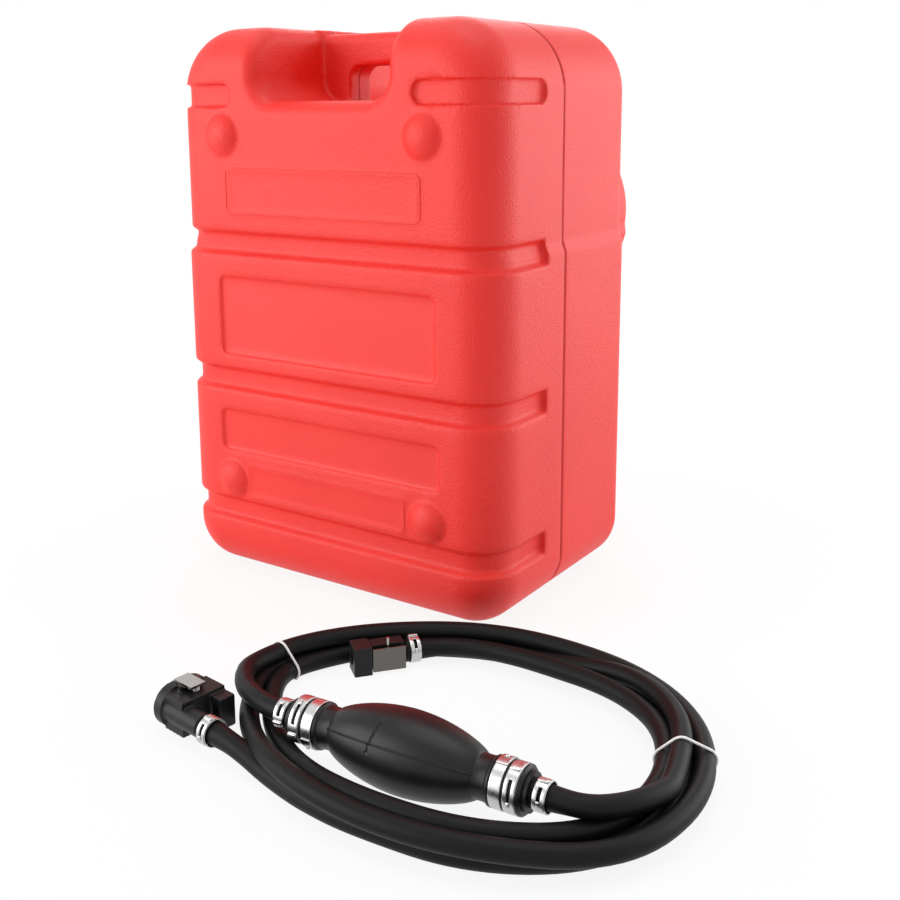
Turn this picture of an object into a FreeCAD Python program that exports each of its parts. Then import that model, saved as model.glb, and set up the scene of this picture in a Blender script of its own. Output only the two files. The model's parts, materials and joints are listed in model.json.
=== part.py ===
import FreeCAD, Part

# Portable 12 litre fuel tank for an outboard engine, with its fuel line.
# Millimetres. The tank stands on its short base: the origin is the middle of
# the base, the front face looks along -Y and +Z is up. In use the tank lies on
# the four domed feet of its front face, and the rear face is its top.

import math
import os
import re

import Sketcher
from FreeCAD import Placement, Rotation, Vector

SIZES = [
    # name, value, what it is
    ("tank_height", 350.0, "base to top of the handle lobes"),
    ("tank_width", 245.0, "side to side"),
    ("tank_depth", 166.0, "front face to rear face"),
    ("tank_wall", 3.5, "blow-moulded wall"),
    ("overcut", 5.0, "how far a cutter reaches past the piece"),
    ("cut_past", 1.0, "the same for a small cutter"),
    ("bury", 1.0, "how far a form starts inside the one that carries it"),
    ("corner_top", 41.0, "outline radius at the top"),
    ("corner_base", 31.0, "outline radius at the base"),
    ("edge_front", 28.0, "rounding of the front half"),
    ("edge_rear", 14.0, "rounding of the rear half"),
    ("seam_offset", 5.0, "parting line ahead of the middle plane"),
    ("seam_width", 1.6, "parting groove width"),
    ("seam_depth", 1.2, "parting groove depth"),
    ("channel_count", 3.0, "channels round front and sides"),
    ("channel_mouth", 16.0, "channel width at the surface"),
    ("channel_floor", 10.0, "channel width at its floor"),
    ("channel_depth", 4.0, "channel depth"),
    ("channel_stop", 25.0, "channel end ahead of the middle plane"),
    ("slot_drop", 41.0, "bar slots beside the handle, below the top"),
    ("slot_width", 14.0, "bar slot width"),
    ("slot_depth", 3.0, "bar slot depth"),
    ("slot_inner", 69.0, "inner end of a bar slot from the middle"),
    ("slot_flat", 0.1, "flat left in the end of a bar slot"),
    ("panel_depth", 2.0, "depth of the smooth panels"),
    ("panel_corner", 5.0, "corner radius of the smooth panels"),
    ("big_panel_half", 82.0, "half width of the large panel"),
    ("big_panel_down", 28.0, "middle of the tank to the large panel's lower edge"),
    ("big_panel_up", 22.5, "middle of the tank to the large panel's upper edge"),
    ("low_panel_half", 84.5, "half width of the lower panel"),
    ("low_panel_down", 4.0, "quarter of the tank's height to the lower panel's lower edge"),
    ("low_panel_up", 23.5, "quarter of the tank's height to the lower panel's upper edge"),
    ("frame_half", 73.0, "half width of the bare title frame"),
    ("frame_base_drop", 112.5, "tank top down to the lower edge of the bare title frame"),
    ("frame_top_drop", 85.0, "tank top down to the upper edge of the bare title frame"),
    ("plate_left", 62.5, "left edge of the bare plate frame"),
    ("plate_right", 60.0, "right edge of the bare plate frame"),
    ("plate_low", 54.5, "lower edge of the bare plate frame"),
    ("plate_high", 76.0, "upper edge of the bare plate frame"),
    ("frame_line", 1.6, "line width of both frames"),
    ("frame_rise", 0.6, "how far both frames stand proud"),
    ("foot_radius", 13.0, "domed foot radius at the face"),
    ("foot_height", 6.0, "domed foot height"),
    ("foot_side", 76.0, "foot from the middle"),
    ("foot_low", 64.5, "height of the lower feet"),
    ("foot_drop", 65.0, "upper feet below the top"),
    ("handle_half", 50.0, "half width of the handle notch"),
    ("handle_drop", 45.0, "notch floor below the top"),
    ("handle_corner", 15.0, "radius of the notch's lower corners"),
    ("handle_lip", 10.0, "rounding of the notch's rim"),
    ("grip_dip", 3.0, "top of the grip below the lobes"),
    ("grip_thick", 20.0, "grip, top to underside"),
    ("grip_ahead", 14.0, "grip face ahead of the middle plane"),
    ("grip_behind", 9.0, "grip face behind the middle plane"),
    ("grip_round", 6.0, "rounding of the grip"),
    ("hole_half", 29.0, "half width of the finger hole"),
    ("hole_corner", 8.0, "corner radius of the finger hole"),
    ("filler_side", 50.0, "filler axis from the middle"),
    ("filler_drop", 118.0, "tank top down to the filler axis"),
    ("platform_radius", 60.0, "round platform under the filler"),
    ("platform_height", 29.0, "platform above the rear face"),
    ("platform_round", 4.0, "rounding of the platform's edge"),
    ("neck_radius", 27.0, "filler neck outside"),
    ("neck_bore", 22.0, "filler neck bore radius"),
    ("neck_height", 14.0, "neck above the platform"),
    ("neck_foot", 1.0, "full-size foot of the neck"),
    ("ridge_height", 1.2, "thread ridge on neck and in cap"),
    ("ridge_pitch", 4.0, "spacing of the thread ridges"),
    ("ridge_first", 3.0, "first ridge below the neck's rim"),
    ("thread_gap", 0.4, "play between the threads"),
    ("cap_radius", 35.0, "filler cap outside"),
    ("cap_lift", 1.0, "cap skirt above the platform"),
    ("cap_top", 5.0, "thickness of the cap's top"),
    ("cap_edge", 2.0, "bevel of the cap's top edge"),
    ("cap_rib_count", 24.0, "grip flutes round the cap"),
    ("cap_rib_radius", 2.2, "radius of one grip flute"),
    ("gasket_height", 3.0, "thickness of the cap's sealing ring"),
    ("seal_gap", 0.2, "clearance between a seal and a turning part"),
    ("vent_radius", 11.0, "vent thumb screw outside"),
    ("vent_height", 9.0, "vent thumb screw above its seal"),
    ("vent_edge", 1.0, "bevel of the vent screw's top edge"),
    ("vent_stem", 3.0, "vent screw stem radius"),
    ("vent_reach", 11.0, "vent screw stem length"),
    ("vent_seal_height", 1.0, "thickness of the vent seal"),
    ("vent_seal_play", 0.3, "vent seal round the stem"),
    ("vent_seal_width", 4.0, "stem to the rim of the vent seal"),
    ("vent_boss", 6.0, "wall round the vent stem inside the cap"),
    ("running_gap", 0.05, "radial play of pins and turning parts"),
    ("unit_side", -57.0, "pickup unit axis from the middle"),
    ("boss_radius", 44.0, "boss under the pickup unit"),
    ("boss_height", 10.0, "boss above the rear face"),
    ("boss_round", 2.0, "rounding of the boss's edge"),
    ("unit_hole", 30.0, "opening under the pickup unit"),
    ("flange_radius", 41.0, "pickup flange outside"),
    ("flange_thick", 6.0, "pickup flange thickness"),
    ("ring_thick", 1.0, "flange gasket thickness"),
    ("screw_count", 5.0, "flange screws"),
    ("screw_circle", 36.0, "flange screw circle radius"),
    ("screw_radius", 2.0, "flange screw shank"),
    ("screw_head", 4.0, "flange screw head radius"),
    ("screw_head_height", 2.6, "flange screw head height"),
    ("screw_bite", 8.0, "screw length in the boss"),
    ("gauge_side", 14.0, "gauge axis from the unit's axis"),
    ("gauge_radius", 17.0, "gauge housing outside"),
    ("gauge_wall", 1.8, "gauge housing wall"),
    ("gauge_height", 7.0, "gauge housing above the flange"),
    ("dial_thick", 1.0, "dial thickness"),
    ("dial_pin", 0.8, "needle pivot radius"),
    ("pin_proud", 0.4, "needle pivot above the needle's hub"),
    ("needle_lift", 0.3, "needle above the dial"),
    ("needle_hub", 2.4, "needle hub radius"),
    ("needle_reach", 12.0, "needle length from the pivot"),
    ("needle_width", 1.4, "needle width"),
    ("needle_thick", 0.8, "needle thickness"),
    ("hand_rise", 0.5, "needle above the underside of its hub"),
    ("hub_height", 1.8, "needle hub height"),
    ("lens_thick", 1.5, "gauge window thickness"),
    ("lens_seat", 0.8, "step that carries the window"),
    ("post_width", 7.0, "float bracket across the pin"),
    ("post_depth", 8.0, "float bracket along the swing"),
    ("pivot_drop", 29.0, "float pivot below the boss"),
    ("pin_radius", 1.0, "float pin radius"),
    ("fork_gap", 3.2, "slot of the float bracket"),
    ("arm_hub", 2.6, "float arm hub radius"),
    ("hub_play", 0.2, "float arm hub to each side of the fork"),
    ("arm_radius", 1.1, "float arm wire radius"),
    ("arm_length", 92.0, "pivot to the middle of the float"),
    ("wire_proud", 2.0, "float arm wire beyond the float"),
    ("float_radius", 13.0, "float radius"),
    ("float_length", 30.0, "float length"),
    ("outlet_side", 18.0, "outlet axis from the unit's axis"),
    ("nipple_base", 8.0, "outlet nipple hexagon, across corners / 2"),
    ("nipple_base_height", 5.0, "outlet nipple hexagon height"),
    ("nut_overlap", 0.5, "how far the hexagon reaches into the stem"),
    ("nipple_radius", 3.5, "outlet nipple stem radius"),
    ("nipple_reach", 20.0, "outlet nipple above the flange"),
    ("nipple_groove", 0.6, "latch groove depth"),
    ("nipple_edge", 0.6, "bevel of the nipple's tip"),
    ("groove_near", 5.0, "latch groove from the tip"),
    ("groove_far", 8.0, "end of the latch groove from the tip"),
    ("chamber_rise", 7.0, "outlet valve chamber above the pickup tube"),
    ("stem_recess", 0.5, "outlet valve stem below the tip"),
    ("spigot_radius", 5.5, "outlet nipple below the flange"),
    ("spigot_drop", 9.0, "spigot below the boss"),
    ("tube_radius", 4.0, "pickup tube outside"),
    ("tube_bore", 2.8, "pickup tube bore radius"),
    ("tube_grip", 6.0, "pickup tube in the spigot"),
    ("strainer_gap", 9.5, "strainer clear of the tank's front wall inside"),
    ("strainer_radius", 8.0, "strainer outside"),
    ("strainer_length", 16.0, "strainer length"),
    ("strainer_wall", 1.2, "strainer wall"),
    ("valve_bore", 2.0, "valve chamber radius"),
    ("valve_head", 1.8, "valve head radius"),
    ("valve_stem", 0.8, "valve stem radius"),
    ("stem_hole", 1.1, "hole round a valve stem"),
    ("valve_head_length", 2.5, "valve head length"),
    ("valve_travel", 3.0, "travel of the connector valves"),
    ("wire_radius", 0.25, "wire of the small springs"),
    ("valve_spring", 1.45, "coil radius of the valve springs"),
    ("check_spring", 3.2, "coil radius of the check valve springs"),
    ("latch_spring", 1.6, "coil radius of the latch springs"),
    ("spring_turns", 5.0, "turns of the small springs"),
    ("latch_spring_turns", 3.0, "turns of the latch springs"),
    ("hose_radius", 5.0, "fuel hose outside"),
    ("hose_bore", 3.05, "fuel hose bore radius"),
    ("barb_radius", 3.0, "hose barbs"),
    ("barb_bore", 1.6, "bore through the hose barbs"),
    ("barb_length", 10.0, "length of the hose barbs"),
    ("clamp_width", 7.0, "hose clamp width"),
    ("clamp_gap", 0.1, "clearance under clamps and bands"),
    ("ear_size", 3.6, "pinched ear of a clamp"),
    ("ear_sink", 0.6, "how far an ear sinks into its band"),
    ("ear_share", 0.7, "share of a band's width that its ear takes"),
    ("clamp_inset", 1.5, "clamp from the end of its hose"),
    ("bulb_left_x", 93.0, "outlet end of the primer bulb set"),
    ("bulb_left_y", -233.4, "outlet end of the primer bulb set"),
    ("bulb_heading", 3.6, "bulb axis above +X, degrees"),
    ("bulb_radius", 20.0, "primer bulb at its middle"),
    ("bulb_set_length", 144.0, "between the outer edges of the hose clamps"),
    ("bulb_wall", 2.6, "primer bulb wall"),
    ("neck_start", 12.0, "bulb neck from the end of the set"),
    ("bulb_neck", 10.5, "bulb neck radius"),
    ("bulb_neck_length", 19.0, "cylindrical part of a bulb neck"),
    ("fitting_collar", 8.6, "collar of a bulb fitting"),
    ("collar_thick", 2.0, "thickness of that collar"),
    ("fitting_radius", 7.8, "bulb fitting inside the neck"),
    ("fitting_reach", 20.0, "bulb fitting inside the bulb"),
    ("band_thick", 0.9, "thickness of the bulb bands"),
    ("band_width", 7.0, "width of the bulb bands"),
    ("band_start", 1.6, "first band from the end of the neck"),
    ("band_spacing", 9.2, "between the two bands of a neck"),
    ("check_bore", 5.2, "check valve chamber radius"),
    ("chamber_start", 6.0, "check valve chamber from the neck's end"),
    ("check_disc", 4.6, "check valve disc radius"),
    ("check_disc_thick", 1.4, "check valve disc thickness"),
    ("check_stem", 1.2, "check valve stem radius"),
    ("check_stem_length", 10.0, "check valve stem length"),
    ("retainer_thick", 1.6, "ring that holds the check valve"),
    ("tank_end_x", 92.4, "tank connector, middle of its hose face"),
    ("tank_end_y", -130.3, "tank connector, middle of its hose face"),
    ("tank_end_heading", 230.8, "direction its socket faces, degrees"),
    ("tank_end_length", 29.0, "tank connector block length"),
    ("tank_end_thick", 13.0, "tank connector block thickness"),
    ("tank_end_height", 16.0, "tank connector block height"),
    ("tank_end_axis", 8.0, "height of its hose axis"),
    ("tail_step", 1.0, "tail of the block inside its nose"),
    ("tank_chamber", 4.0, "valve chamber from the hose face"),
    ("tank_spring_at", 3.0, "latch spring from the hose face"),
    ("nose_length", 10.0, "full-size nose of the tank connector"),
    ("socket_gap", 0.15, "socket round a nipple"),
    ("socket_depth", 12.0, "socket depth"),
    ("ring_radius", 0.6, "section radius of the socket seals"),
    ("ring_play", 0.2, "seal groove wider than its seal"),
    ("ring_squeeze", 0.1, "seal and groove reach into each other"),
    ("lever_thick", 1.2, "latch plate thickness"),
    ("lever_recess", 4.5, "room for the latch plate"),
    ("axis_back", 1.5, "hose axis behind the connector's middle"),
    ("lever_turn_room", 1.7, "latch pivot to the inside of the plate"),
    ("lever_ear", 1.2, "thickness of the latch ears"),
    ("lever_hub", 1.5, "boss round a latch pivot"),
    ("web_half", 1.0, "half width of the webs at the pivots"),
    ("latch_ear_half", 1.7, "half width of the latch ears"),
    ("latch_ear_back", 1.0, "latch ears behind the pivot"),
    ("lever_margin", 1.5, "latch plate inside the block's height"),
    ("lever_gap", 0.3, "clearance at the edges of the latch plates"),
    ("lever_pin", 0.9, "latch pin radius"),
    ("lever_pin_rise", 3.4, "latch pin above the block"),
    ("engine_end_x", 38.0, "engine connector, middle of its flange"),
    ("engine_end_y", -240.0, "engine connector, middle of its flange"),
    ("engine_end_heading", 172.0, "direction its sockets face, degrees"),
    ("oval_half", 16.0, "half width of its oval flange"),
    ("oval_height", 22.0, "height of its oval flange"),
    ("oval_thick", 6.0, "thickness of its oval flange"),
    ("fuel_side", 9.0, "fuel passage from the middle"),
    ("fuel_boss", 6.0, "boss radius round the fuel passage"),
    ("fuel_boss_reach", 26.0, "fuel boss behind the flange"),
    ("seat_wall", 1.5, "wall between socket and valve chamber"),
    ("hose_shoulder", 1.0, "bare barb before the hose begins"),
    ("cuff_radius", 6.4, "hose swollen over its barb"),
    ("cuff_length", 10.0, "length of the swollen end"),
    ("engine_body_length", 22.0, "body behind the oval flange"),
    ("engine_body_half", 13.0, "half width of the body"),
    ("engine_body_margin", 2.0, "body inside the flange's height"),
    ("body_back", 14.0, "end of the full-width body behind the flange"),
    ("side_ear_width", 9.0, "width of the windowed ear"),
    ("side_ear_drop", 2.0, "windowed ear below the body's top"),
    ("window_wall", 3.0, "wall behind the ear's window"),
    ("window_margin", 1.0, "window from the body"),
    ("window_low", 6.0, "lower edge of the ear's window"),
    ("window_high", 14.0, "upper edge of the ear's window"),
    ("engine_chamber", 6.0, "valve chamber from the hose face"),
    ("peg_radius", 2.6, "locating peg hole radius"),
    ("peg_side", 7.0, "locating peg from the middle"),
    ("latch_length", 14.0, "engine latch length"),
    ("latch_half", 4.5, "engine latch half width"),
    ("latch_front", 4.0, "latch plate ahead of the flange's rear face"),
    ("latch_pivot", 3.0, "latch pivot behind the flange's rear face"),
    ("lug_half", 1.6, "half width of the latch lugs"),
    ("lug_thick", 2.0, "thickness of the latch lugs"),
    ("lug_rise", 1.4, "latch lugs above the pivot"),
    ("engine_spring_at", 8.0, "latch spring behind the flange's rear face"),
    ("bundle_half", 5.0, "offset of the two lower hoses of the bundle"),
    ("tie_width", 2.6, "width of the ties"),
    ("tie_thick", 1.2, "thickness of the ties"),
]

# Stations of the hose bundle on the floor, counter-clockwise from +X.
COIL_STATIONS = [
    (272, -178), (254, -126), (215, -91), (165, -86), (119, -95), (75, -112), (53, -148),
    (55, -192), (76, -234), (117, -262), (165, -271), (217, -268), (262, -234),
]
# Free stretches of hose; each starts at its fitting and ends in the bundle.
OUTLET_ROUTE = [
    (103.0, -232.8, 20.0), (91.0, -233.5, 20.0), (76.4, -228.4, 19.0),
    (64.7, -218.2, 17.0), (57.5, -204.3, 15.0), (55.5, -188.5, 13.7),
]
INLET_ROUTE = [
    (226.7, -225.0, 20.0), (239.0, -224.2, 20.0), (254.0, -219.5, 19.5),
    (265.5, -209.0, 17.5), (270.5, -195.0, 15.5), (271.0, -180.0, 13.7),
]
ENGINE_ROUTE = [
    (63.5, -252.7, 11.0), (79.0, -254.88, 11.0), (97.0, -257.5, 8.2),
    (115.5, -259.8, 5.8), (134.0, -262.3, 5.1),
]
TANK_ROUTE = [
    (91.9, -128.6, 8.0), (101.9, -116.4, 8.1), (114.0, -107.0, 8.6),
    (128.5, -100.0, 9.4), (144.0, -95.5, 10.0),
]

# Places that follow from the sizes above.
PLACES = [
    # name, rule, what it is
    ("handle_floor", "tank_height - handle_drop", "height of the notch floor"),
    ("grip_top", "tank_height - grip_dip", "top of the grip"),
    ("grip_bottom", "grip_top - grip_thick", "underside of the grip"),
    ("slot_level", "tank_height - slot_drop", "height of the bar slots"),
    ("big_panel_low", "tank_height / 2 - big_panel_down", "lower edge of the large panel"),
    ("big_panel_high", "tank_height / 2 + big_panel_up", "upper edge of the large panel"),
    ("low_panel_low", "tank_height / 4 - low_panel_down", "lower edge of the lower panel"),
    ("low_panel_high", "tank_height / 4 + low_panel_up", "upper edge of the lower panel"),
    ("filler_level", "tank_height - filler_drop", "filler axis height"),
    ("frame_low", "tank_height - frame_base_drop", "lower edge of the bare title frame"),
    ("frame_high", "tank_height - frame_top_drop", "upper edge of the bare title frame"),
    ("foot_high", "tank_height - foot_drop", "height of the upper feet"),
    ("tube_drop", "tank_depth + boss_height - tank_wall - strainer_length / 2 - strainer_gap",
     "boss to the lower end of the pickup tube"),
]

NAMES = re.compile(r"\b(%s)\b" % "|".join(row[0] for row in SIZES + PLACES))
# Planes closer than TINY are one plane. An edge that spans more than LONG runs that way.
TINY = 0.01
LONG = 1.0
# Share of the shorter run that an arc of a hose takes.
ARC_SHARE = 0.45
POINTS_PER_TURN = 12
TO_REAR = Rotation(Vector(1, 0, 0), -90)
TO_X = Rotation(Vector(0, 1, 0), 90)
TURNS = {"X": TO_X, "Y": TO_REAR, "Z": Rotation()}

doc = FreeCAD.newDocument("outboard_fuel_tank")
nodes = []


def make_sheet():
    sheet = doc.addObject("Spreadsheet::Sheet", "Sizes")
    rows = [(name, "%g" % value, meaning) for name, value, meaning in SIZES]
    rows += [(name, "=" + rule, meaning) for name, rule, meaning in PLACES]
    for row, (name, content, meaning) in enumerate(rows, start=1):
        sheet.set("A%d" % row, name)
        sheet.set("B%d" % row, content)
        sheet.setAlias("B%d" % row, name)
        sheet.set("C%d" % row, meaning)
    doc.recompute()
    return sheet


sizes = make_sheet()


def size(name):
    return float(sizes.get(name))


def wall(grow):
    """How far a form of the cavity grows: a size by name, or nothing."""
    return 0.0 if grow == "0" else size(grow)


def tie(thing, prop, text):
    """Bind a property to the sheet; the text names the sheet's cells."""
    thing.setExpression(prop, NAMES.sub(r"Sizes.\g<0>", text))


def node(name, thing, placement=None):
    """Keep a finished sub-part under its name, at its place."""
    thing.Label = name
    if placement is not None:
        thing.Placement = placement
    nodes.append((name, thing))


def solid(name, shape):
    """A sub-part whose shape is worked out from the sheet in code."""
    thing = doc.addObject("Part::Feature", name + "_shape")
    thing.Shape = shape
    return thing


# ---------------------------------------------------------------- sketches

def sketch_on(body, name, plane, offset="0"):
    sketch = body.newObject("Sketcher::SketchObject", name)
    planes = [item for item in body.Origin.OriginFeatures if item.Role == plane]
    sketch.AttachmentSupport = [(planes[0], "")]
    sketch.MapMode = "FlatFace"
    tie(sketch, "AttachmentOffset.Base.z", offset)
    return sketch


def pin_point(sketch, geometry, end, across, up):
    """Hold one point of a sketch at a place given by the sheet."""
    spot = sketch.getPoint(geometry, end)
    for kind, start, text in (("DistanceX", spot.x, across), ("DistanceY", spot.y, up)):
        number = sketch.addConstraint(
            Sketcher.Constraint(kind, -1, 1, geometry, end, start))
        tie(sketch, "Constraints[%d]" % number, text)


def polygon(sketch, corners):
    """A closed outline through corners that the sheet places."""
    first = sketch.GeometryCount
    count = len(corners)
    ring = [Vector(math.cos(math.tau * k / count), math.sin(math.tau * k / count), 0)
            for k in range(count)]
    for k in range(count):
        sketch.addGeometry(Part.LineSegment(ring[k], ring[(k + 1) % count]), False)
    for k in range(count):
        following = first + (k + 1) % count
        sketch.addConstraint(Sketcher.Constraint("Coincident", first + k, 2, following, 1))
    for k, (across, up) in enumerate(corners):
        pin_point(sketch, first + k, 1, across, up)


def rectangle(sketch, left, right, low, high):
    polygon(sketch, [(left, low), (right, low), (right, high), (left, high)])


def circle(sketch, across, up, radius):
    number = sketch.addGeometry(Part.Circle(Vector(0, 0, 0), Vector(0, 0, 1), 1), False)
    pin_point(sketch, number, 3, across, up)
    held = sketch.addConstraint(Sketcher.Constraint("Radius", number, 1.0))
    tie(sketch, "Constraints[%d]" % held, radius)


def pad(body, sketch, length, symmetric=False, backwards=False):
    feature = body.newObject("PartDesign::Pad", sketch.Name + "_pad")
    feature.Profile = sketch
    tie(feature, "Length", length)
    feature.SideType = "Symmetric" if symmetric else "One side"
    feature.Reversed = backwards
    body.Tip = feature
    doc.recompute()
    return feature


def pocket(body, sketch, length, backwards=False, symmetric=False):
    """Cut a profile out, and make sure that it took material away."""
    before = body.Shape.Volume
    feature = body.newObject("PartDesign::Pocket", sketch.Name + "_pocket")
    feature.Profile = sketch
    tie(feature, "Length", length)
    feature.SideType = "Symmetric" if symmetric else "One side"
    feature.Reversed = backwards
    body.Tip = feature
    doc.recompute()
    if body.Shape.Volume >= before:
        raise RuntimeError(sketch.Name + " cuts nothing")
    return feature


def edge_names(feature, test):
    edges = enumerate(feature.Shape.Edges, start=1)
    return ["Edge%d" % number for number, edge in edges if test(edge.BoundBox)]


def fillet(body, base, radius, test):
    feature = body.newObject("PartDesign::Fillet", base.Name + "_round")
    feature.Base = (base, edge_names(base, test))
    tie(feature, "Radius", radius)
    body.Tip = feature
    doc.recompute()
    return feature


def flat_in(box, axis, place, slack=TINY):
    """True where an edge lies in the plane axis = place."""
    low = getattr(box, axis + "Min")
    high = getattr(box, axis + "Max")
    return abs(low - place) < slack and abs(high - place) < slack


def turned(name, profile):
    """A turned piece: a profile of (radius, height) about the local Z axis."""
    body = doc.addObject("PartDesign::Body", name + "_body")
    sketch = sketch_on(body, name + "_profile", "XZ_Plane")
    polygon(sketch, profile)
    feature = body.newObject("PartDesign::Revolution", name + "_turned")
    feature.Profile = sketch
    feature.ReferenceAxis = (sketch, ["V_Axis"])
    feature.Angle = 360
    body.Tip = feature
    doc.recompute()
    return body


# -------------------------------------------------------------- primitives

def block(name, low, high):
    """A box between two corners that the sheet places."""
    thing = doc.addObject("Part::Box", name)
    for side, axis, start, stop in zip(("Length", "Width", "Height"), "xyz", low, high):
        tie(thing, side, "(%s) - (%s)" % (stop, start))
        tie(thing, "Placement.Base." + axis, start)
    return thing


def rod(name, axis, base, length, radius):
    """A cylinder from a base point along +X, +Y or +Z."""
    thing = doc.addObject("Part::Cylinder", name)
    thing.Placement = Placement(Vector(0, 0, 0), TURNS[axis])
    tie(thing, "Radius", radius)
    tie(thing, "Height", length)
    for letter, text in zip("xyz", base):
        tie(thing, "Placement.Base." + letter, text)
    return thing


def single(name, thing):
    """Hold one piece so that its node's place moves it as a whole."""
    group = doc.addObject("Part::Compound", name)
    group.Links = [thing]
    return group


def fuse(name, pieces):
    thing = doc.addObject("Part::MultiFuse", name)
    thing.Shapes = pieces
    thing.Refine = True
    return thing


def cut(name, base, tools):
    thing = doc.addObject("Part::Cut", name)
    thing.Base = base
    thing.Tool = tools[0] if len(tools) == 1 else fuse(name + "_tools", tools)
    thing.Refine = True
    return thing


# -------------------------------------------------------------------- tank

def side_path(body, name, level, stop, grow):
    """The line round both sides and the front face at one height."""
    sketch = sketch_on(body, name, "XY_Plane", level)
    side = size("tank_width") / 2
    front = -size("tank_depth") / 2
    bend = size("edge_front")
    ahead = wall(grow) - size("channel_stop")
    up = Vector(0, 0, 1)
    right_centre = Vector(side - bend, front + bend, 0)
    left_centre = Vector(bend - side, front + bend, 0)
    sketch.addGeometry([
        Part.LineSegment(Vector(side, ahead, 0), Vector(side, front + bend, 0)),
        Part.ArcOfCircle(Part.Circle(right_centre, up, bend), -math.pi / 2, 0),
        Part.LineSegment(Vector(side - bend, front, 0), Vector(bend - side, front, 0)),
        Part.ArcOfCircle(Part.Circle(left_centre, up, bend), math.pi, 1.5 * math.pi),
        Part.LineSegment(Vector(-side, front + bend, 0), Vector(-side, ahead, 0))], False)
    for one, end, other, start in ((0, 2, 1, 2), (1, 1, 2, 1), (2, 2, 3, 2), (3, 1, 4, 1)):
        sketch.addConstraint(Sketcher.Constraint("Coincident", one, end, other, start))
    pin_point(sketch, 0, 1, "tank_width / 2", stop)
    pin_point(sketch, 0, 2, "tank_width / 2", "edge_front - tank_depth / 2")
    pin_point(sketch, 2, 1, "tank_width / 2 - edge_front", "0 - tank_depth / 2")
    pin_point(sketch, 2, 2, "edge_front - tank_width / 2", "0 - tank_depth / 2")
    pin_point(sketch, 4, 1, "0 - tank_width / 2", "edge_front - tank_depth / 2")
    pin_point(sketch, 4, 2, "0 - tank_width / 2", stop)
    for arc in (1, 3):
        held = sketch.addConstraint(Sketcher.Constraint("Radius", arc, bend))
        tie(sketch, "Constraints[%d]" % held, "edge_front")
    return sketch


def cut_channels(body, grow):
    """Press the channels in round the front and both sides."""
    level = "tank_height / 8"
    stop = "0 - channel_stop + (%s)" % grow
    path = side_path(body, body.Name + "_channel_path", level, stop, grow)
    section = sketch_on(body, body.Name + "_channel_section", "XZ_Plane",
                        "channel_stop - (%s)" % grow)
    outside = "tank_width / 2 + cut_past"
    surface = "tank_width / 2"
    depth = "tank_width / 2 - channel_depth - (%s)" % grow
    mouth = "channel_mouth / 2 + (%s)" % grow
    floor = "channel_floor / 2 + (%s)" % grow
    below = level + " - (%s)"
    above = level + " + (%s)"
    polygon(section, [(outside, below % mouth), (surface, below % mouth), (depth, below % floor),
                      (depth, above % floor), (surface, above % mouth), (outside, above % mouth)])
    doc.recompute()
    channel = body.newObject("PartDesign::SubtractivePipe", body.Name + "_channel")
    channel.Profile = section
    channel.Spine = (path, [])
    body.Tip = channel
    doc.recompute()
    rows = body.newObject("PartDesign::LinearPattern", body.Name + "_channels")
    rows.Originals = [channel]
    planes = [item for item in body.Origin.OriginFeatures if item.Role == "Z_Axis"]
    rows.Direction = (planes[0], [""])
    tie(rows, "Length", "tank_height / 4 * (channel_count - 1)")
    tie(rows, "Occurrences", "channel_count")
    body.Tip = rows
    doc.recompute()


def press_panels(body, grow, face):
    """Sink the two smooth panels into the front."""
    rows = (("big", "big_panel_half", "big_panel_low", "big_panel_high"),
            ("low", "low_panel_half", "low_panel_low", "low_panel_high"))
    for name, half, low, high in rows:
        sketch = sketch_on(body, "%s_%s_panel" % (body.Name, name), "XZ_Plane", face)
        rectangle(sketch, "0 - %s - (%s)" % (half, grow), "%s + (%s)" % (half, grow),
                  "%s - (%s)" % (low, grow), "%s + (%s)" % (high, grow))
        feature = pocket(body, sketch, "panel_depth")
        left = -size(half)
        bottom = size(low)
        top = size(high)
        reach = size("tank_wall") + TINY

        def at_corner(box):
            side = min(abs(box.XMin - left), abs(box.XMin + left))
            level = min(abs(box.ZMin - bottom), abs(box.ZMin - top))
            return box.XLength < TINY and box.ZLength < TINY and side < reach and level < reach

        fillet(body, feature, "panel_corner", at_corner)


def tank_form(name, inset):
    """The tank's rounded block, inset from the outside by a wall or by nothing."""
    body = doc.addObject("PartDesign::Body", name)
    outline = sketch_on(body, name + "_outline", "XZ_Plane")
    rectangle(outline, "0 - tank_width / 2 + (%s)" % inset, "tank_width / 2 - (%s)" % inset,
              inset, "tank_height - (%s)" % inset)
    feature = pad(body, outline, "tank_depth - 2 * (%s)" % inset, symmetric=True)
    half = size("tank_height") / 2
    feature = fillet(body, feature, "corner_top - (%s)" % inset,
                     lambda box: box.YLength > LONG and box.XLength < TINY and box.ZMin > half)
    feature = fillet(body, feature, "corner_base - (%s)" % inset,
                     lambda box: box.YLength > LONG and box.XLength < TINY and box.ZMax < half
                     and box.ZLength < TINY and box.ZMin < size("tank_wall") + TINY)
    front = min(vertex.Y for vertex in feature.Shape.Vertexes)
    feature = fillet(body, feature, "edge_front - (%s)" % inset,
                     lambda box: flat_in(box, "Y", front))
    fillet(body, feature, "edge_rear - (%s)" % inset, lambda box: flat_in(box, "Y", -front))
    return body


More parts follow.
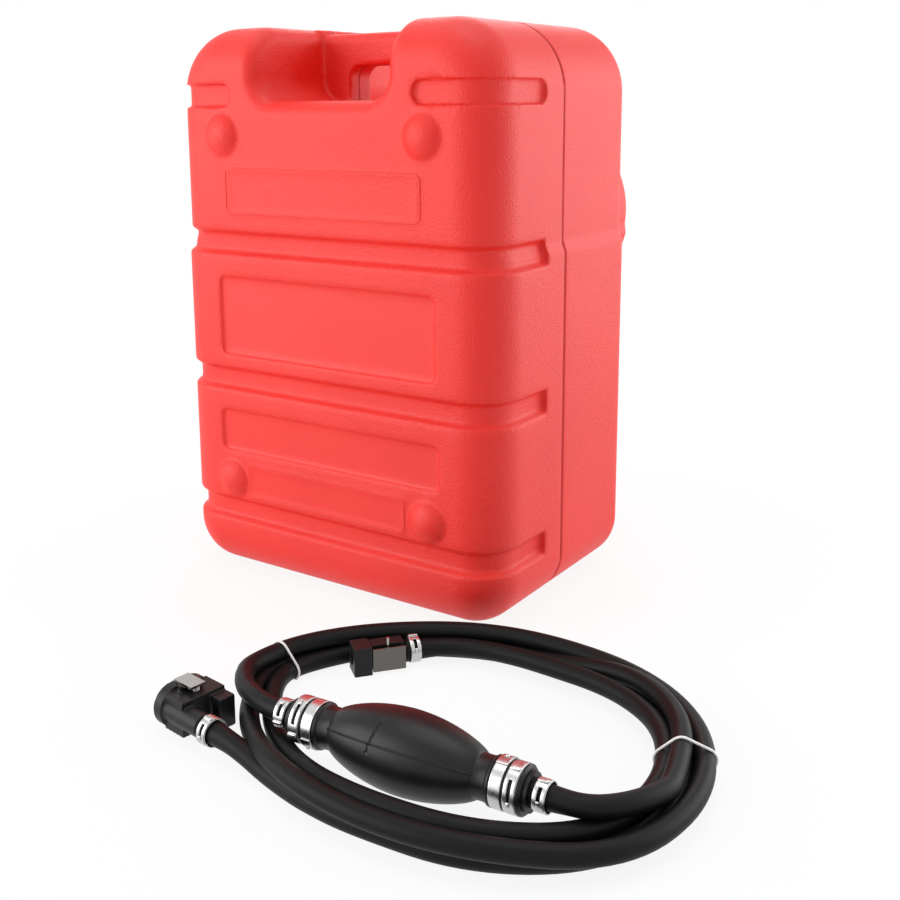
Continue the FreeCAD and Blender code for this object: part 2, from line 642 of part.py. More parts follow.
def tank_outside():
    body = tank_form("tank_outside", "0")
    rear = "0 - tank_depth / 2"
    platform = sketch_on(body, "platform", "XZ_Plane", rear)
    circle(platform, "filler_side", "filler_level", "platform_radius")
    feature = pad(body, platform, "platform_height", backwards=True)
    top = size("tank_depth") / 2 + size("platform_height")
    fillet(body, feature, "platform_round", lambda box: flat_in(box, "Y", top))
    neck = sketch_on(body, "neck", "XZ_Plane", "%s - platform_height" % rear)
    circle(neck, "filler_side", "filler_level", "neck_radius")
    pad(body, neck, "neck_height", backwards=True)
    boss = sketch_on(body, "boss", "XZ_Plane", rear)
    circle(boss, "unit_side", "filler_level", "boss_radius")
    feature = pad(body, boss, "boss_height", backwards=True)
    boss_top = size("tank_depth") / 2 + size("boss_height")
    fillet(body, feature, "boss_round", lambda box: flat_in(box, "Y", boss_top))
    cut_channels(body, "0")
    press_panels(body, "0", "tank_depth / 2")
    cut_handle(body)
    return body


def cut_handle(body):
    """The notch in the top, with the grip left standing across its middle."""
    ahead = sketch_on(body, "notch_ahead", "XZ_Plane", "tank_depth / 2 + cut_past")
    rectangle(ahead, "0 - handle_half", "handle_half", "handle_floor", "tank_height + overcut")
    pocket(body, ahead, "tank_depth / 2 + cut_past - grip_ahead")
    behind = sketch_on(body, "notch_behind", "XZ_Plane", "0 - tank_depth / 2 - cut_past")
    rectangle(behind, "0 - handle_half", "handle_half", "handle_floor", "tank_height + overcut")
    feature = pocket(body, behind, "tank_depth / 2 + cut_past - grip_behind", backwards=True)
    side = size("handle_half")
    floor = size("handle_floor")
    feature = fillet(body, feature, "handle_corner",
                     lambda box: box.XLength < TINY and box.ZLength < TINY
                     and abs(abs(box.XMin) - side) < TINY and abs(box.ZMin - floor) < TINY)
    front = -size("tank_depth") / 2
    feature = fillet(body, feature, "handle_lip",
                     lambda box: flat_in(box, "Y", front) and abs(box.ZMin - floor) < TINY
                     and box.XLength > side and box.ZLength < TINY)
    over = sketch_on(body, "grip_over", "XZ_Plane")
    rectangle(over, "0 - handle_half", "handle_half", "grip_top", "tank_height + overcut")
    pocket(body, over, "tank_depth", symmetric=True)
    hole = sketch_on(body, "finger_hole", "XZ_Plane")
    rectangle(hole, "0 - hole_half", "hole_half", "handle_floor", "grip_bottom")
    feature = pocket(body, hole, "2 * (grip_ahead + grip_behind)", symmetric=True)
    inner = size("hole_half")
    feature = fillet(body, feature, "hole_corner",
                     lambda box: box.XLength < TINY and box.ZLength < TINY
                     and abs(abs(box.XMin) - inner) < TINY
                     and abs(box.ZMin - size("grip_bottom")) < TINY)
    crest = size("grip_top")
    fillet(body, feature, "grip_round",
           lambda box: flat_in(box, "Z", crest) and box.YLength < TINY and box.XLength > side)


def rounded(name, base, radius, test):
    """Round the edges of a primitive that pass the test."""
    doc.recompute()
    thing = doc.addObject("Part::Fillet", name)
    thing.Base = base
    edges = enumerate(base.Shape.Edges, start=1)
    thing.Edges = [(number, radius, radius) for number, edge in edges if test(edge.BoundBox)]
    return thing


def slot_cutters(grow):
    """The bar slots beside the handle, pressed in round the front corners."""
    tag = "slot_wide" if grow != "0" else "slot"
    extra = wall(grow)
    deep = "(slot_depth + (%s))" % grow
    core = block(tag + "_core", ("%s - tank_width / 2" % deep, "%s - tank_depth / 2" % deep, "0"),
                 ("tank_width / 2 - %s" % deep, "tank_depth / 2", "tank_height"))
    front = -size("tank_depth") / 2 + size("slot_depth") + extra
    core = rounded(tag + "_core_round", core, size("edge_front") - size("slot_depth") - extra,
                   lambda box: flat_in(box, "Y", front) and box.ZLength > LONG)
    half = "(slot_width / 2 + (%s))" % grow
    inner = "(slot_inner - (%s))" % grow
    outer = "(tank_width / 2 + overcut)"
    stop = "(%s) - channel_stop" % grow
    bars = []
    for side, left, right in (("left", "0 - " + outer, "0 - " + inner), ("right", inner, outer)):
        bar = block("%s_%s" % (tag, side),
                    (left, "0 - tank_depth / 2 - overcut", "slot_level - " + half),
                    (right, stop, "slot_level + " + half))
        inside = size("slot_inner") - extra
        end = extra - size("channel_stop")
        radius = size("slot_width") / 2 + extra - size("slot_flat")
        bar = rounded("%s_%s_round" % (tag, side), bar, radius,
                      lambda box: (box.YLength > LONG and abs(abs(box.XMin) - inside) < TINY
                                   and box.XLength < TINY)
                      or (box.XLength > LONG and flat_in(box, "Y", end)))
        bars.append(bar)
    return cut(tag + "_cutters", fuse(tag + "_bars", bars), [core])


def seam_cutter():
    """The parting groove: a thin slab with the tank's inset outline left out."""
    slab = block("seam_slab", ("0 - tank_width", "0 - seam_offset - seam_width / 2", "0 - tank_wall"),
                 ("tank_width", "seam_width / 2 - seam_offset", "tank_height + tank_wall"))
    body = doc.addObject("PartDesign::Body", "seam_core")
    outline = sketch_on(body, "seam_outline", "XZ_Plane")
    rectangle(outline, "seam_depth - tank_width / 2", "tank_width / 2 - seam_depth",
              "seam_depth", "tank_height - seam_depth")
    feature = pad(body, outline, "tank_depth", symmetric=True)
    half = size("tank_height") / 2
    feature = fillet(body, feature, "corner_top - seam_depth",
                     lambda box: box.YLength > LONG and box.ZMin > half)
    fillet(body, feature, "corner_base - seam_depth",
           lambda box: box.YLength > LONG and box.XLength < TINY and box.ZLength < TINY
           and box.ZMax < half)
    return cut("seam_cutter", slab, [body])


def tank_cavity():
    """The space inside, with the wall kept behind everything pressed in."""
    body = tank_form("tank_cavity", "tank_wall")
    cut_channels(body, "tank_wall")
    press_panels(body, "tank_wall", "tank_depth / 2 - tank_wall")
    notch = sketch_on(body, "notch_inside", "XZ_Plane")
    rectangle(notch, "0 - handle_half - tank_wall", "handle_half + tank_wall",
              "handle_floor - tank_wall", "tank_height + overcut")
    pocket(body, notch, "tank_depth", symmetric=True)
    return cut("cavity_plain", body, [slot_cutters("tank_wall")])


def outline_frame(name, left, right, low, high):
    """A thin raised line round a place that is left bare."""
    rim = block(name + "_rim", (left, "0 - tank_depth / 2 - frame_rise", low),
                (right, "bury - tank_depth / 2", high))
    window = block(name + "_window",
                   ("%s + frame_line" % left, "0 - tank_depth / 2 - overcut", "%s + frame_line" % low),
                   ("%s - frame_line" % right, "overcut - tank_depth / 2", "%s - frame_line" % high))
    return cut(name, rim, [window])


def domed_feet():
    """Four shallow domes that the tank lies on in use."""
    feet = []
    sphere = "((foot_radius * foot_radius + foot_height * foot_height) / (2 * foot_height))"
    for side in (-1, 1):
        for level in ("foot_low", "foot_high"):
            foot = doc.addObject("Part::Sphere", "foot")
            tie(foot, "Radius", sphere)
            tie(foot, "Placement.Base.x", "%d * foot_side" % side)
            tie(foot, "Placement.Base.y", "%s - foot_height - tank_depth / 2" % sphere)
            tie(foot, "Placement.Base.z", level)
            feet.append(foot)
    return feet


def tank_shell():
    frames = [
        outline_frame("title_frame", "0 - frame_half", "frame_half", "frame_low", "frame_high"),
        outline_frame("plate_frame", "0 - plate_left", "plate_right", "plate_low", "plate_high")]
    skin = fuse("tank_skin", [tank_outside()] + domed_feet() + frames)
    face = "tank_depth / 2"
    start = face + " - 2 * overcut"
    bore = rod("filler_bore", "Y", ("filler_side", start, "filler_level"),
               "platform_height + neck_height + 4 * overcut", "neck_bore")
    platform = rod("platform_inside", "Y", ("filler_side", start, "filler_level"),
                   "platform_height - tank_wall + 2 * overcut", "platform_radius - tank_wall")
    opening = rod("unit_opening", "Y", ("unit_side", start, "filler_level"),
                  "boss_height + 4 * overcut", "unit_hole")
    holes = []
    for number in range(int(size("screw_count"))):
        turn = "(%d * 360 / screw_count)" % number
        holes.append(rod("screw_hole", "Y", (
            "unit_side + screw_circle * cos(%s * 1deg)" % turn,
            face + " + boss_height - screw_bite - running_gap",
            "filler_level + screw_circle * sin(%s * 1deg)" % turn),
            "screw_bite + overcut", "screw_radius + running_gap"))
    grooves = neck_grooves()
    shell = cut("tank_shell_cut", skin, [
        tank_cavity(), slot_cutters("0"), seam_cutter(), bore, platform, opening, grooves] + holes)
    node("tank_shell", shell)


def neck_grooves():
    """What is turned off the filler neck, so that its thread ridges stand proud."""
    body = turned("neck_groove", neck_profile())
    body.Placement = filler_frame()
    return body


def neck_profile():
    """The turned-down stretches between the ridges, as one comb-shaped ring."""
    clear = "(neck_radius + cut_past)"
    root = "(neck_radius - ridge_height)"
    profile = [(clear, "neck_height + cut_past"), (clear, "neck_foot"), (root, "neck_foot")]
    for number in (2, 1, 0):
        centre = "(neck_height - ridge_first - %d * ridge_pitch)" % number
        profile += [(root, centre + " - ridge_height"), ("neck_radius", centre + " - ridge_height / 3"),
                    ("neck_radius", centre + " + ridge_height / 3"), (root, centre + " + ridge_height")]
    return profile + [(root, "neck_height + cut_past")]


def filler_frame():
    return Placement(Vector(size("filler_side"), size("tank_depth") / 2 + size("platform_height"),
                            size("filler_level")), TO_REAR)


def unit_frame():
    return Placement(Vector(size("unit_side"), size("tank_depth") / 2 + size("boss_height"),
                            size("filler_level")), TO_REAR)


# -------------------------------------------------------- cap and vent screw

def ceiling():
    return "(neck_height + seal_gap + gasket_height)"


def filler_cap():
    """Screw cap: fluted skirt, thread ridges inside, a boss for the vent screw."""
    bore = "(neck_radius + thread_gap)"
    crest = "(neck_radius + thread_gap - ridge_height)"
    stem = "(vent_stem + running_gap)"
    top = ceiling() + " + cap_top"
    profile = [(stem, top), ("cap_radius - cap_edge", top), ("cap_radius", top + " - cap_edge"),
               ("cap_radius", "cap_lift"), (bore, "cap_lift")]
    for number in (1, 0):
        centre = "(neck_height - ridge_first - (%d + 0.5) * ridge_pitch)" % number
        profile += [(bore, centre + " - ridge_height"), (crest, centre + " - ridge_height / 3"),
                    (crest, centre + " + ridge_height / 3"), (bore, centre + " + ridge_height")]
    profile += [(bore, ceiling()), ("vent_boss", ceiling()), ("vent_boss", ceiling() + " - cap_top"),
                (stem, ceiling() + " - cap_top")]
    body = turned("filler_cap", profile)
    flute(body, "cap", "cap_radius", top, "cap_radius", "cap_rib_count")
    node("filler_cap", body, filler_frame())


def flute(body, name, radius, top, depth, count):
    """Grip flutes all round a turned piece, cut down from its top."""
    sketch = sketch_on(body, name + "_flute", "XY_Plane", top + " + cut_past")
    circle(sketch, radius + " + cap_rib_radius / 2", "0", "cap_rib_radius")
    feature = pocket(body, sketch, depth + " + cut_past")
    ring = body.newObject("PartDesign::PolarPattern", name + "_flutes")
    ring.Originals = [feature]
    axes = [item for item in body.Origin.OriginFeatures if item.Role == "Z_Axis"]
    ring.Axis = (axes[0], [""])
    ring.Angle = 360
    tie(ring, "Occurrences", count)
    body.Tip = ring
    doc.recompute()


def ring_piece(name, inner, outer, low, high, placement):
    """A plain washer, seal or collar."""
    body = turned(name, [(inner, low), (outer, low), (outer, high), (inner, high)])
    node(name, body, placement)


def vent_screw():
    """Thumb screw whose stem passes through the cap."""
    low = "(%s + cap_top + seal_gap + vent_seal_height)" % ceiling()
    top = low + " + vent_height"
    body = turned("vent_screw", [
        ("0", top), ("vent_radius - vent_edge", top), ("vent_radius", top + " - vent_edge"),
        ("vent_radius", low), ("vent_stem", low), ("vent_stem", low + " - vent_reach"),
        ("0", low + " - vent_reach")])
    flute(body, "vent", "vent_radius", top, "vent_height", "cap_rib_count / 2")
    node("vent_screw", body, filler_frame())


def filler_parts():
    filler_cap()
    ring_piece("filler_gasket", "neck_bore", "neck_radius", "neck_height + seal_gap", ceiling(),
               filler_frame())
    vent_screw()
    under = "(%s + cap_top + seal_gap)" % ceiling()
    ring_piece("vent_seal", "vent_stem + vent_seal_play", "vent_stem + vent_seal_width", under,
               under + " + vent_seal_height", filler_frame())


# ------------------------------------------------- pickup, gauge and outlet

FLANGE_TOP = "(ring_thick + flange_thick)"


def screw_places():
    """Middles of the flange screws, about the unit's axis."""
    spots = []
    for number in range(int(size("screw_count"))):
        turn = "(%d * 360 / screw_count * 1deg)" % number
        spots.append(("screw_circle * cos(%s)" % turn, "0 - screw_circle * sin(%s)" % turn))
    return spots


def screw_holes(name, low, length):
    return [rod(name + "_hole", "Z", (across, up, low), length, "screw_radius + running_gap")
            for across, up in screw_places()]


def pickup_flange():
    plate = rod("flange_plate", "Z", ("0", "0", "ring_thick"), "flange_thick", "flange_radius")
    gauge = ("0 - gauge_side", "0", FLANGE_TOP)
    wall = rod("gauge_wall_out", "Z", gauge, "gauge_height", "gauge_radius")
    inside = rod("gauge_wall_in", "Z", gauge, "gauge_height + cut_past", "gauge_radius - gauge_wall")
    seat = rod("lens_pocket", "Z", (gauge[0], "0", FLANGE_TOP + " + gauge_height - lens_thick"),
               "lens_thick + cut_past", "gauge_radius - gauge_wall + lens_seat")
    hole = rod("outlet_hole", "Z", ("outlet_side", "0", "0"), "flange_thick + overcut",
               "spigot_radius + running_gap")
    holes = screw_holes("flange", "0", "flange_thick + overcut")
    node("pickup_flange", cut("pickup_flange_cut", fuse("flange_fuse", [plate, wall]),
                              [inside, seat, hole] + holes), unit_frame())


def pickup_gasket():
    disc = rod("gasket_disc", "Z", ("0", "0", "0"), "ring_thick", "flange_radius")
    hole = rod("gasket_middle", "Z", ("0", "0", "0 - cut_past"), "ring_thick + 2 * cut_past",
               "unit_hole")
    node("pickup_gasket", cut("pickup_gasket_cut", disc,
                              [hole] + screw_holes("gasket", "0 - cut_past",
                                                   "ring_thick + 2 * cut_past")),
         unit_frame())


def flange_screws():
    """Five pan-head screws, as one group of separate solids."""
    screws = []
    for across, up in screw_places():
        shank = rod("shank", "Z", (across, up, "0 - screw_bite"),
                    "screw_bite + %s" % FLANGE_TOP, "screw_radius")
        head = rod("head", "Z", (across, up, FLANGE_TOP), "screw_head_height", "screw_head")
        screws.append(fuse("screw", [shank, head]))
    group = doc.addObject("Part::Compound", "screw_group")
    group.Links = screws
    node("flange_screws", group, unit_frame())


def gauge_parts():
    """Dial, needle and window in the housing on the flange."""
    spot = "0 - gauge_side"
    dial = rod("dial_disc", "Z", (spot, "0", FLANGE_TOP), "dial_thick",
               "gauge_radius - gauge_wall - running_gap")
    pin = rod("dial_pin_rod", "Z", (spot, "0", FLANGE_TOP),
              "dial_thick + needle_lift + hub_height + pin_proud", "dial_pin")
    node("gauge_dial", fuse("gauge_dial_fuse", [dial, pin]), unit_frame())
    low = "(%s + dial_thick + needle_lift)" % FLANGE_TOP
    hub = rod("needle_hub_rod", "Z", (spot, "0", low), "hub_height", "needle_hub")
    hand = block("needle_hand", (spot, "0 - needle_width / 2", low + " + hand_rise"),
                 (spot + " + needle_reach", "needle_width / 2", low + " + hand_rise + needle_thick"))
    hole = rod("needle_bore", "Z", (spot, "0", FLANGE_TOP), "gauge_height", "dial_pin + running_gap")
    node("gauge_needle", cut("gauge_needle_cut", fuse("needle_fuse", [hub, hand]), [hole]),
         unit_frame())
    lens = rod("lens_disc", "Z", (spot, "0", FLANGE_TOP + " + gauge_height - lens_thick"),
               "lens_thick", "gauge_radius - gauge_wall + lens_seat - running_gap")
    node("gauge_lens", single("lens_group", lens), unit_frame())


def float_parts():
    """Forked post, pin, wire arm and float; the arm hangs down at rest."""
    spot = "0 - gauge_side"
    pivot = "(0 - pivot_drop)"
    foot = "(%s - post_depth / 2)" % pivot
    post = block("post", (spot + " - post_width / 2", "0 - post_depth / 2", foot),
                 (spot + " + post_width / 2", "post_depth / 2", "ring_thick"))
    slot = block("fork_slot", (spot + " - fork_gap / 2", "0 - post_depth", foot + " - cut_past"),
                 (spot + " + fork_gap / 2", "post_depth", pivot + " + post_depth / 2"))
    hole = rod("fork_hole", "X", (spot + " - post_width", "0", pivot), "2 * post_width",
               "pin_radius + running_gap")
    node("gauge_bracket", cut("gauge_bracket_cut", post, [slot, hole]), unit_frame())
    pin = rod("float_pin_rod", "X", (spot + " - post_width / 2", "0", pivot), "post_width",
              "pin_radius")
    node("float_pin", single("pin_group", pin), unit_frame())
    hub = rod("arm_hub_rod", "X", (spot + " - fork_gap / 2 + hub_play", "0", pivot),
              "fork_gap - 2 * hub_play", "arm_hub")
    wire = rod("arm_wire", "Y", (spot, "arm_hub / 2", pivot),
               "arm_length - arm_hub / 2 + float_radius + wire_proud", "arm_radius")
    bore = rod("arm_bore", "X", (spot + " - post_width", "0", pivot), "2 * post_width",
               "pin_radius + running_gap")
    node("float_arm", cut("float_arm_cut", fuse("arm_fuse", [hub, wire]), [bore]), unit_frame())
    drum = rod("float_drum", "X", (spot + " - float_length / 2", "arm_length", pivot),
               "float_length", "float_radius")
    tunnel = rod("float_tunnel", "Y", (spot, "arm_length - float_radius - cut_past", pivot),
                 "2 * float_radius + 2 * cut_past", "arm_radius + running_gap")
    node("gauge_float", cut("gauge_float_cut", drum, [tunnel]), unit_frame())


def pickup_parts():
    """Tube to the lowest point in use, with a slotted strainer on its end."""
    place = unit_frame() * Placement(Vector(size("outlet_side"), 0, 0), Rotation())
    ring_piece("pickup_tube", "tube_bore", "tube_radius", "0 - tube_drop",
               "tube_grip - spigot_drop", place)
    mouth = "(strainer_length / 2 - tube_drop)"
    base = "(0 - strainer_length / 2 - tube_drop)"
    can = turned("strainer_can", [
        ("tube_radius + running_gap", mouth), ("strainer_radius", mouth), ("strainer_radius", base),
        ("0", base), ("0", base + " + strainer_wall"),
        ("strainer_radius - strainer_wall", base + " + strainer_wall"),
        ("strainer_radius - strainer_wall", mouth + " - strainer_wall"),
        ("tube_radius + running_gap", mouth + " - strainer_wall")])
    slots = []
    for number in range(3):
        slot = doc.addObject("Part::Box", "strainer_slot")
        for side, text in (("Length", "2 * (strainer_radius + cut_past)"), ("Width", "strainer_wall"),
                           ("Height", "strainer_length / 2")):
            tie(slot, side, text)
        turn = Rotation(Vector(0, 0, 1), 60 * number)
        corner = Vector(-size("strainer_radius") - size("cut_past"), -size("strainer_wall") / 2,
                        -size("strainer_length") / 4 - size("tube_drop"))
        slot.Placement = Placement(Vector(0, 0, 0), turn) * Placement(corner, Rotation())
        slots.append(slot)
    node("pickup_strainer", cut("pickup_strainer_cut", can, slots), place)


def outlet_parts():
    """Male half of the quick connector, with its sprung valve."""
    place = unit_frame() * Placement(Vector(size("outlet_side"), 0, 0), Rotation())
    tip = "(%s + nipple_reach)" % FLANGE_TOP
    base = "(0 - spigot_drop)"
    shelf = "(%s + nipple_base_height)" % FLANGE_TOP
    seat = "(%s - seat_wall - valve_travel)" % tip
    floor = "(tube_grip - spigot_drop + chamber_rise)"
    throat = "(nipple_radius - nipple_groove)"
    body = turned("nipple_turned", [
        ("stem_hole", tip), ("nipple_radius - nipple_edge", tip),
        ("nipple_radius", tip + " - nipple_edge"), ("nipple_radius", tip + " - groove_near"),
        (throat, tip + " - groove_near - nipple_groove"),
        (throat, tip + " - groove_far + nipple_groove"), ("nipple_radius", tip + " - groove_far"),
        ("nipple_radius", shelf), ("spigot_radius", shelf),
        ("spigot_radius", base), ("tube_radius + running_gap", base),
        ("tube_radius + running_gap", base + " + tube_grip"), ("stem_hole", base + " + tube_grip"),
        ("stem_hole", floor), ("valve_bore", floor), ("valve_bore", seat), ("stem_hole", seat)])
    nut = doc.addObject("Part::Prism", "nipple_nut")
    nut.Polygon = 6
    tie(nut, "Circumradius", "nipple_base")
    tie(nut, "Height", "nipple_base_height")
    tie(nut, "Placement.Base.z", FLANGE_TOP)
    core = rod("nut_core", "Z", ("0", "0", FLANGE_TOP), "nipple_base_height",
               "spigot_radius - nut_overlap")
    nut = cut("nipple_nut_cut", nut, [core])
    node("outlet_nipple", fuse("outlet_nipple_fuse", [body, nut]), place)
    valve("outlet_valve", place, seat, "(seat_wall + valve_travel - stem_recess)")
    spring("outlet_spring", place, height_of_floor(), height_of_seat() - size("valve_head_length")
           - 2 * size("running_gap"), "valve_spring")


def height_of_floor():
    return size("tube_grip") - size("spigot_drop") + size("chamber_rise") + size("running_gap")


def height_of_seat():
    return (size("ring_thick") + size("flange_thick") + size("nipple_reach")
            - size("seat_wall") - size("valve_travel"))


def valve(name, place, seat, stem):
    """A headed valve pin, held against its seat at rest."""
    top = "(%s - running_gap)" % seat
    body = turned(name, [("0", top + " + " + stem), ("valve_stem", top + " + " + stem),
                         ("valve_stem", top), ("valve_head", top),
                         ("valve_head", top + " - valve_head_length"),
                         ("0", top + " - valve_head_length")])
    node(name, body, place)


def spring(name, place, low, high, radius, turns="spring_turns"):
    """A light helical spring between two levels of its local Z axis."""
    wire = size("wire_radius")
    reach = size(radius)
    height = high - low - 2 * wire
    steps = int(POINTS_PER_TURN * size(turns))
    spots = []
    for k in range(steps + 1):
        turn = 2 * math.pi * k / POINTS_PER_TURN
        spots.append(Vector(reach * math.cos(turn), reach * math.sin(turn),
                            low + wire + height * k / steps))
    curve = Part.BSplineCurve()
    curve.interpolate(spots)
    section = Part.Wire([Part.makeCircle(wire, spots[0], curve.tangent(curve.FirstParameter)[0])])
    coil = Part.Wire([curve.toShape()]).makePipeShell([section], True, True)
    node(name, solid(name, Part.makeCompound([coil])), place)


# --------------------------------------------------------------- primer bulb

def outlet_end():
    """Local Z runs along the bulb from its outlet end."""
    return Placement(Vector(size("bulb_left_x"), size("bulb_left_y"), size("bulb_radius")),
                     Rotation(Vector(0, 0, 1), size("bulb_heading")) * TO_X)


def inlet_end():
    """The same from the other end, looking back along the bulb."""
    half_turn = Placement(Vector(0, 0, size("bulb_set_length")), Rotation(Vector(1, 0, 0), 180))
    return outlet_end() * half_turn


def bulb_profile(neck, middle):
    """Half outline of the bulb: straight necks joined by one long arc."""
    start = size("neck_start")
    shoulder = start + size("bulb_neck_length")
    total = size("bulb_set_length")
    arc = Part.Arc(Vector(neck, 0, shoulder), Vector(middle, 0, total / 2),
                   Vector(neck, 0, total - shoulder)).toShape()
    corners = [Vector(neck, 0, total - shoulder), Vector(neck, 0, total - start),
               Vector(0, 0, total - start), Vector(0, 0, start), Vector(neck, 0, start),
               Vector(neck, 0, shoulder)]
    lines = [Part.LineSegment(corners[k], corners[k + 1]).toShape() for k in range(5)]
    face = Part.Face(Part.Wire([arc] + lines))
    return face.revolve(Vector(0, 0, 0), Vector(0, 0, 1), 360)


def primer_bulb():
    """Squeeze bulb of rubber, hollow, with a neck at each end."""
    inner = size("fitting_radius") + size("running_gap")
    outside = bulb_profile(size("bulb_neck"), size("bulb_radius"))
    inside = bulb_profile(inner, size("bulb_radius") - size("bulb_wall"))
    node("primer_bulb", solid("primer_bulb", outside.cut(inside)), outlet_end())


def bulb_fitting(name, place):
    """Barbed fitting pushed into a bulb neck; its inner end holds the check valve."""
    tip = "(neck_start - collar_thick - barb_length)"
    end = "(neck_start + fitting_reach)"
    body = turned(name, [
        ("barb_bore", tip), ("barb_radius", tip), ("barb_radius", "neck_start - collar_thick"),
        ("fitting_collar", "neck_start - collar_thick"), ("fitting_collar", "neck_start"),
        ("fitting_radius", "neck_start"), ("fitting_radius", end), ("check_bore", end),
        ("check_bore", chamber_floor()), ("barb_bore", chamber_floor())])
    node(name, body, place)


def chamber_floor():
    return "(neck_start + chamber_start)"


def check_valve(name, place, low):
    """Disc and guide stem of a check valve."""
    top = "(%s + check_disc_thick)" % low
    body = turned(name, [("0", top), ("check_disc", top), ("check_disc", low), ("check_stem", low),
                         ("check_stem", low + " - check_stem_length"),
                         ("0", low + " - check_stem_length")])
    node(name, body, place)


def bulb_parts():
    primer_bulb()
    bulb_fitting("bulb_outlet", outlet_end())
    bulb_fitting("bulb_inlet", inlet_end())
    end = "(neck_start + fitting_reach)"
    for name, place in (("outlet_retainer", outlet_end()), ("inlet_retainer", inlet_end())):
        ring_piece(name, "barb_radius", "check_bore - running_gap", end + " - retainer_thick", end,
                   place)
    # The outlet disc rests on its retainer, the inlet disc on the chamber's floor.
    check_valve("outlet_check", outlet_end(),
                "(%s - retainer_thick - check_disc_thick - running_gap)" % end)
    check_valve("inlet_check", inlet_end(), "(%s + running_gap)" % chamber_floor())
    floor = size("neck_start") + size("chamber_start")
    retainer = size("neck_start") + size("fitting_reach") - size("retainer_thick")
    disc = size("check_disc_thick") + 2 * size("running_gap")
    spring("outlet_check_spring", outlet_end(), floor + size("running_gap"), retainer - disc,
           "check_spring")
    spring("inlet_check_spring", inlet_end(), floor + disc, retainer - size("running_gap"),
           "check_spring")
    bands = []
    for place in (outlet_end(), inlet_end()):
        for number in (0, 1):
            low = size("neck_start") + size("band_start") + number * size("band_spacing")
            band = strap(size("bulb_neck"), low, size("band_width"))
            band.Placement = place
            bands.append(band)
    node("bulb_bands", solid("bulb_bands", Part.makeCompound(bands)))


def strap(radius, low, width):
    """A stainless band with its pinched ear, about the local Z axis."""
    inner = radius + size("clamp_gap")
    outer = inner + size("band_thick")
    base = Vector(0, 0, low)
    ring = Part.makeCylinder(outer, width, base)
    ear_size = size("ear_size")
    share = size("ear_share")
    corner = Vector(size("ear_sink") - outer - ear_size, -ear_size / 2, low + width * (1 - share) / 2)
    ring = ring.fuse(Part.makeBox(ear_size, ear_size, width * share, corner))
    past = size("cut_past")
    hole = Part.makeCylinder(inner, width + 2 * past, base - Vector(0, 0, past))
    return ring.cut(hole).removeSplitter()


# ------------------------------------------------------------- connectors

def tank_end():
    """Local +X faces the socket, +Y the latch plate, +Z up; origin on the floor."""
    return Placement(Vector(size("tank_end_x"), size("tank_end_y"), 0),
                     Rotation(Vector(0, 0, 1), size("tank_end_heading")))


def engine_end():
    return Placement(Vector(size("engine_end_x"), size("engine_end_y"), 0),
                     Rotation(Vector(0, 0, 1), size("engine_end_heading")))


def passage(frame, side, level):
    """Local Z along the fuel passage of a connector, towards its socket."""
    return frame * Placement(Vector(0, side, level), TO_X)


def passage_cuts(tag, side, level, face, floor, tip):
    """Socket, seal groove, valve chamber and bore, one behind the other."""
    seat = "(%s - socket_depth - seat_wall)" % face
    wide = "nipple_radius + socket_gap"
    rows = [("socket", "%s - socket_depth" % face, "socket_depth + cut_past", wide),
            ("groove", "%s - socket_depth / 2" % face, "2 * ring_radius + ring_play",
             wide + " + 2 * ring_radius - ring_squeeze"),
            ("seat", seat, "seat_wall + cut_past", "stem_hole"),
            ("chamber", floor, "%s - %s" % (seat, floor), "valve_bore"),
            ("bore", tip + " - cut_past", "%s - %s + 2 * cut_past" % (floor, tip), "barb_bore")]
    return [rod("%s_%s" % (tag, name), "X", (start, side, level), length, radius)
            for name, start, length, radius in rows]


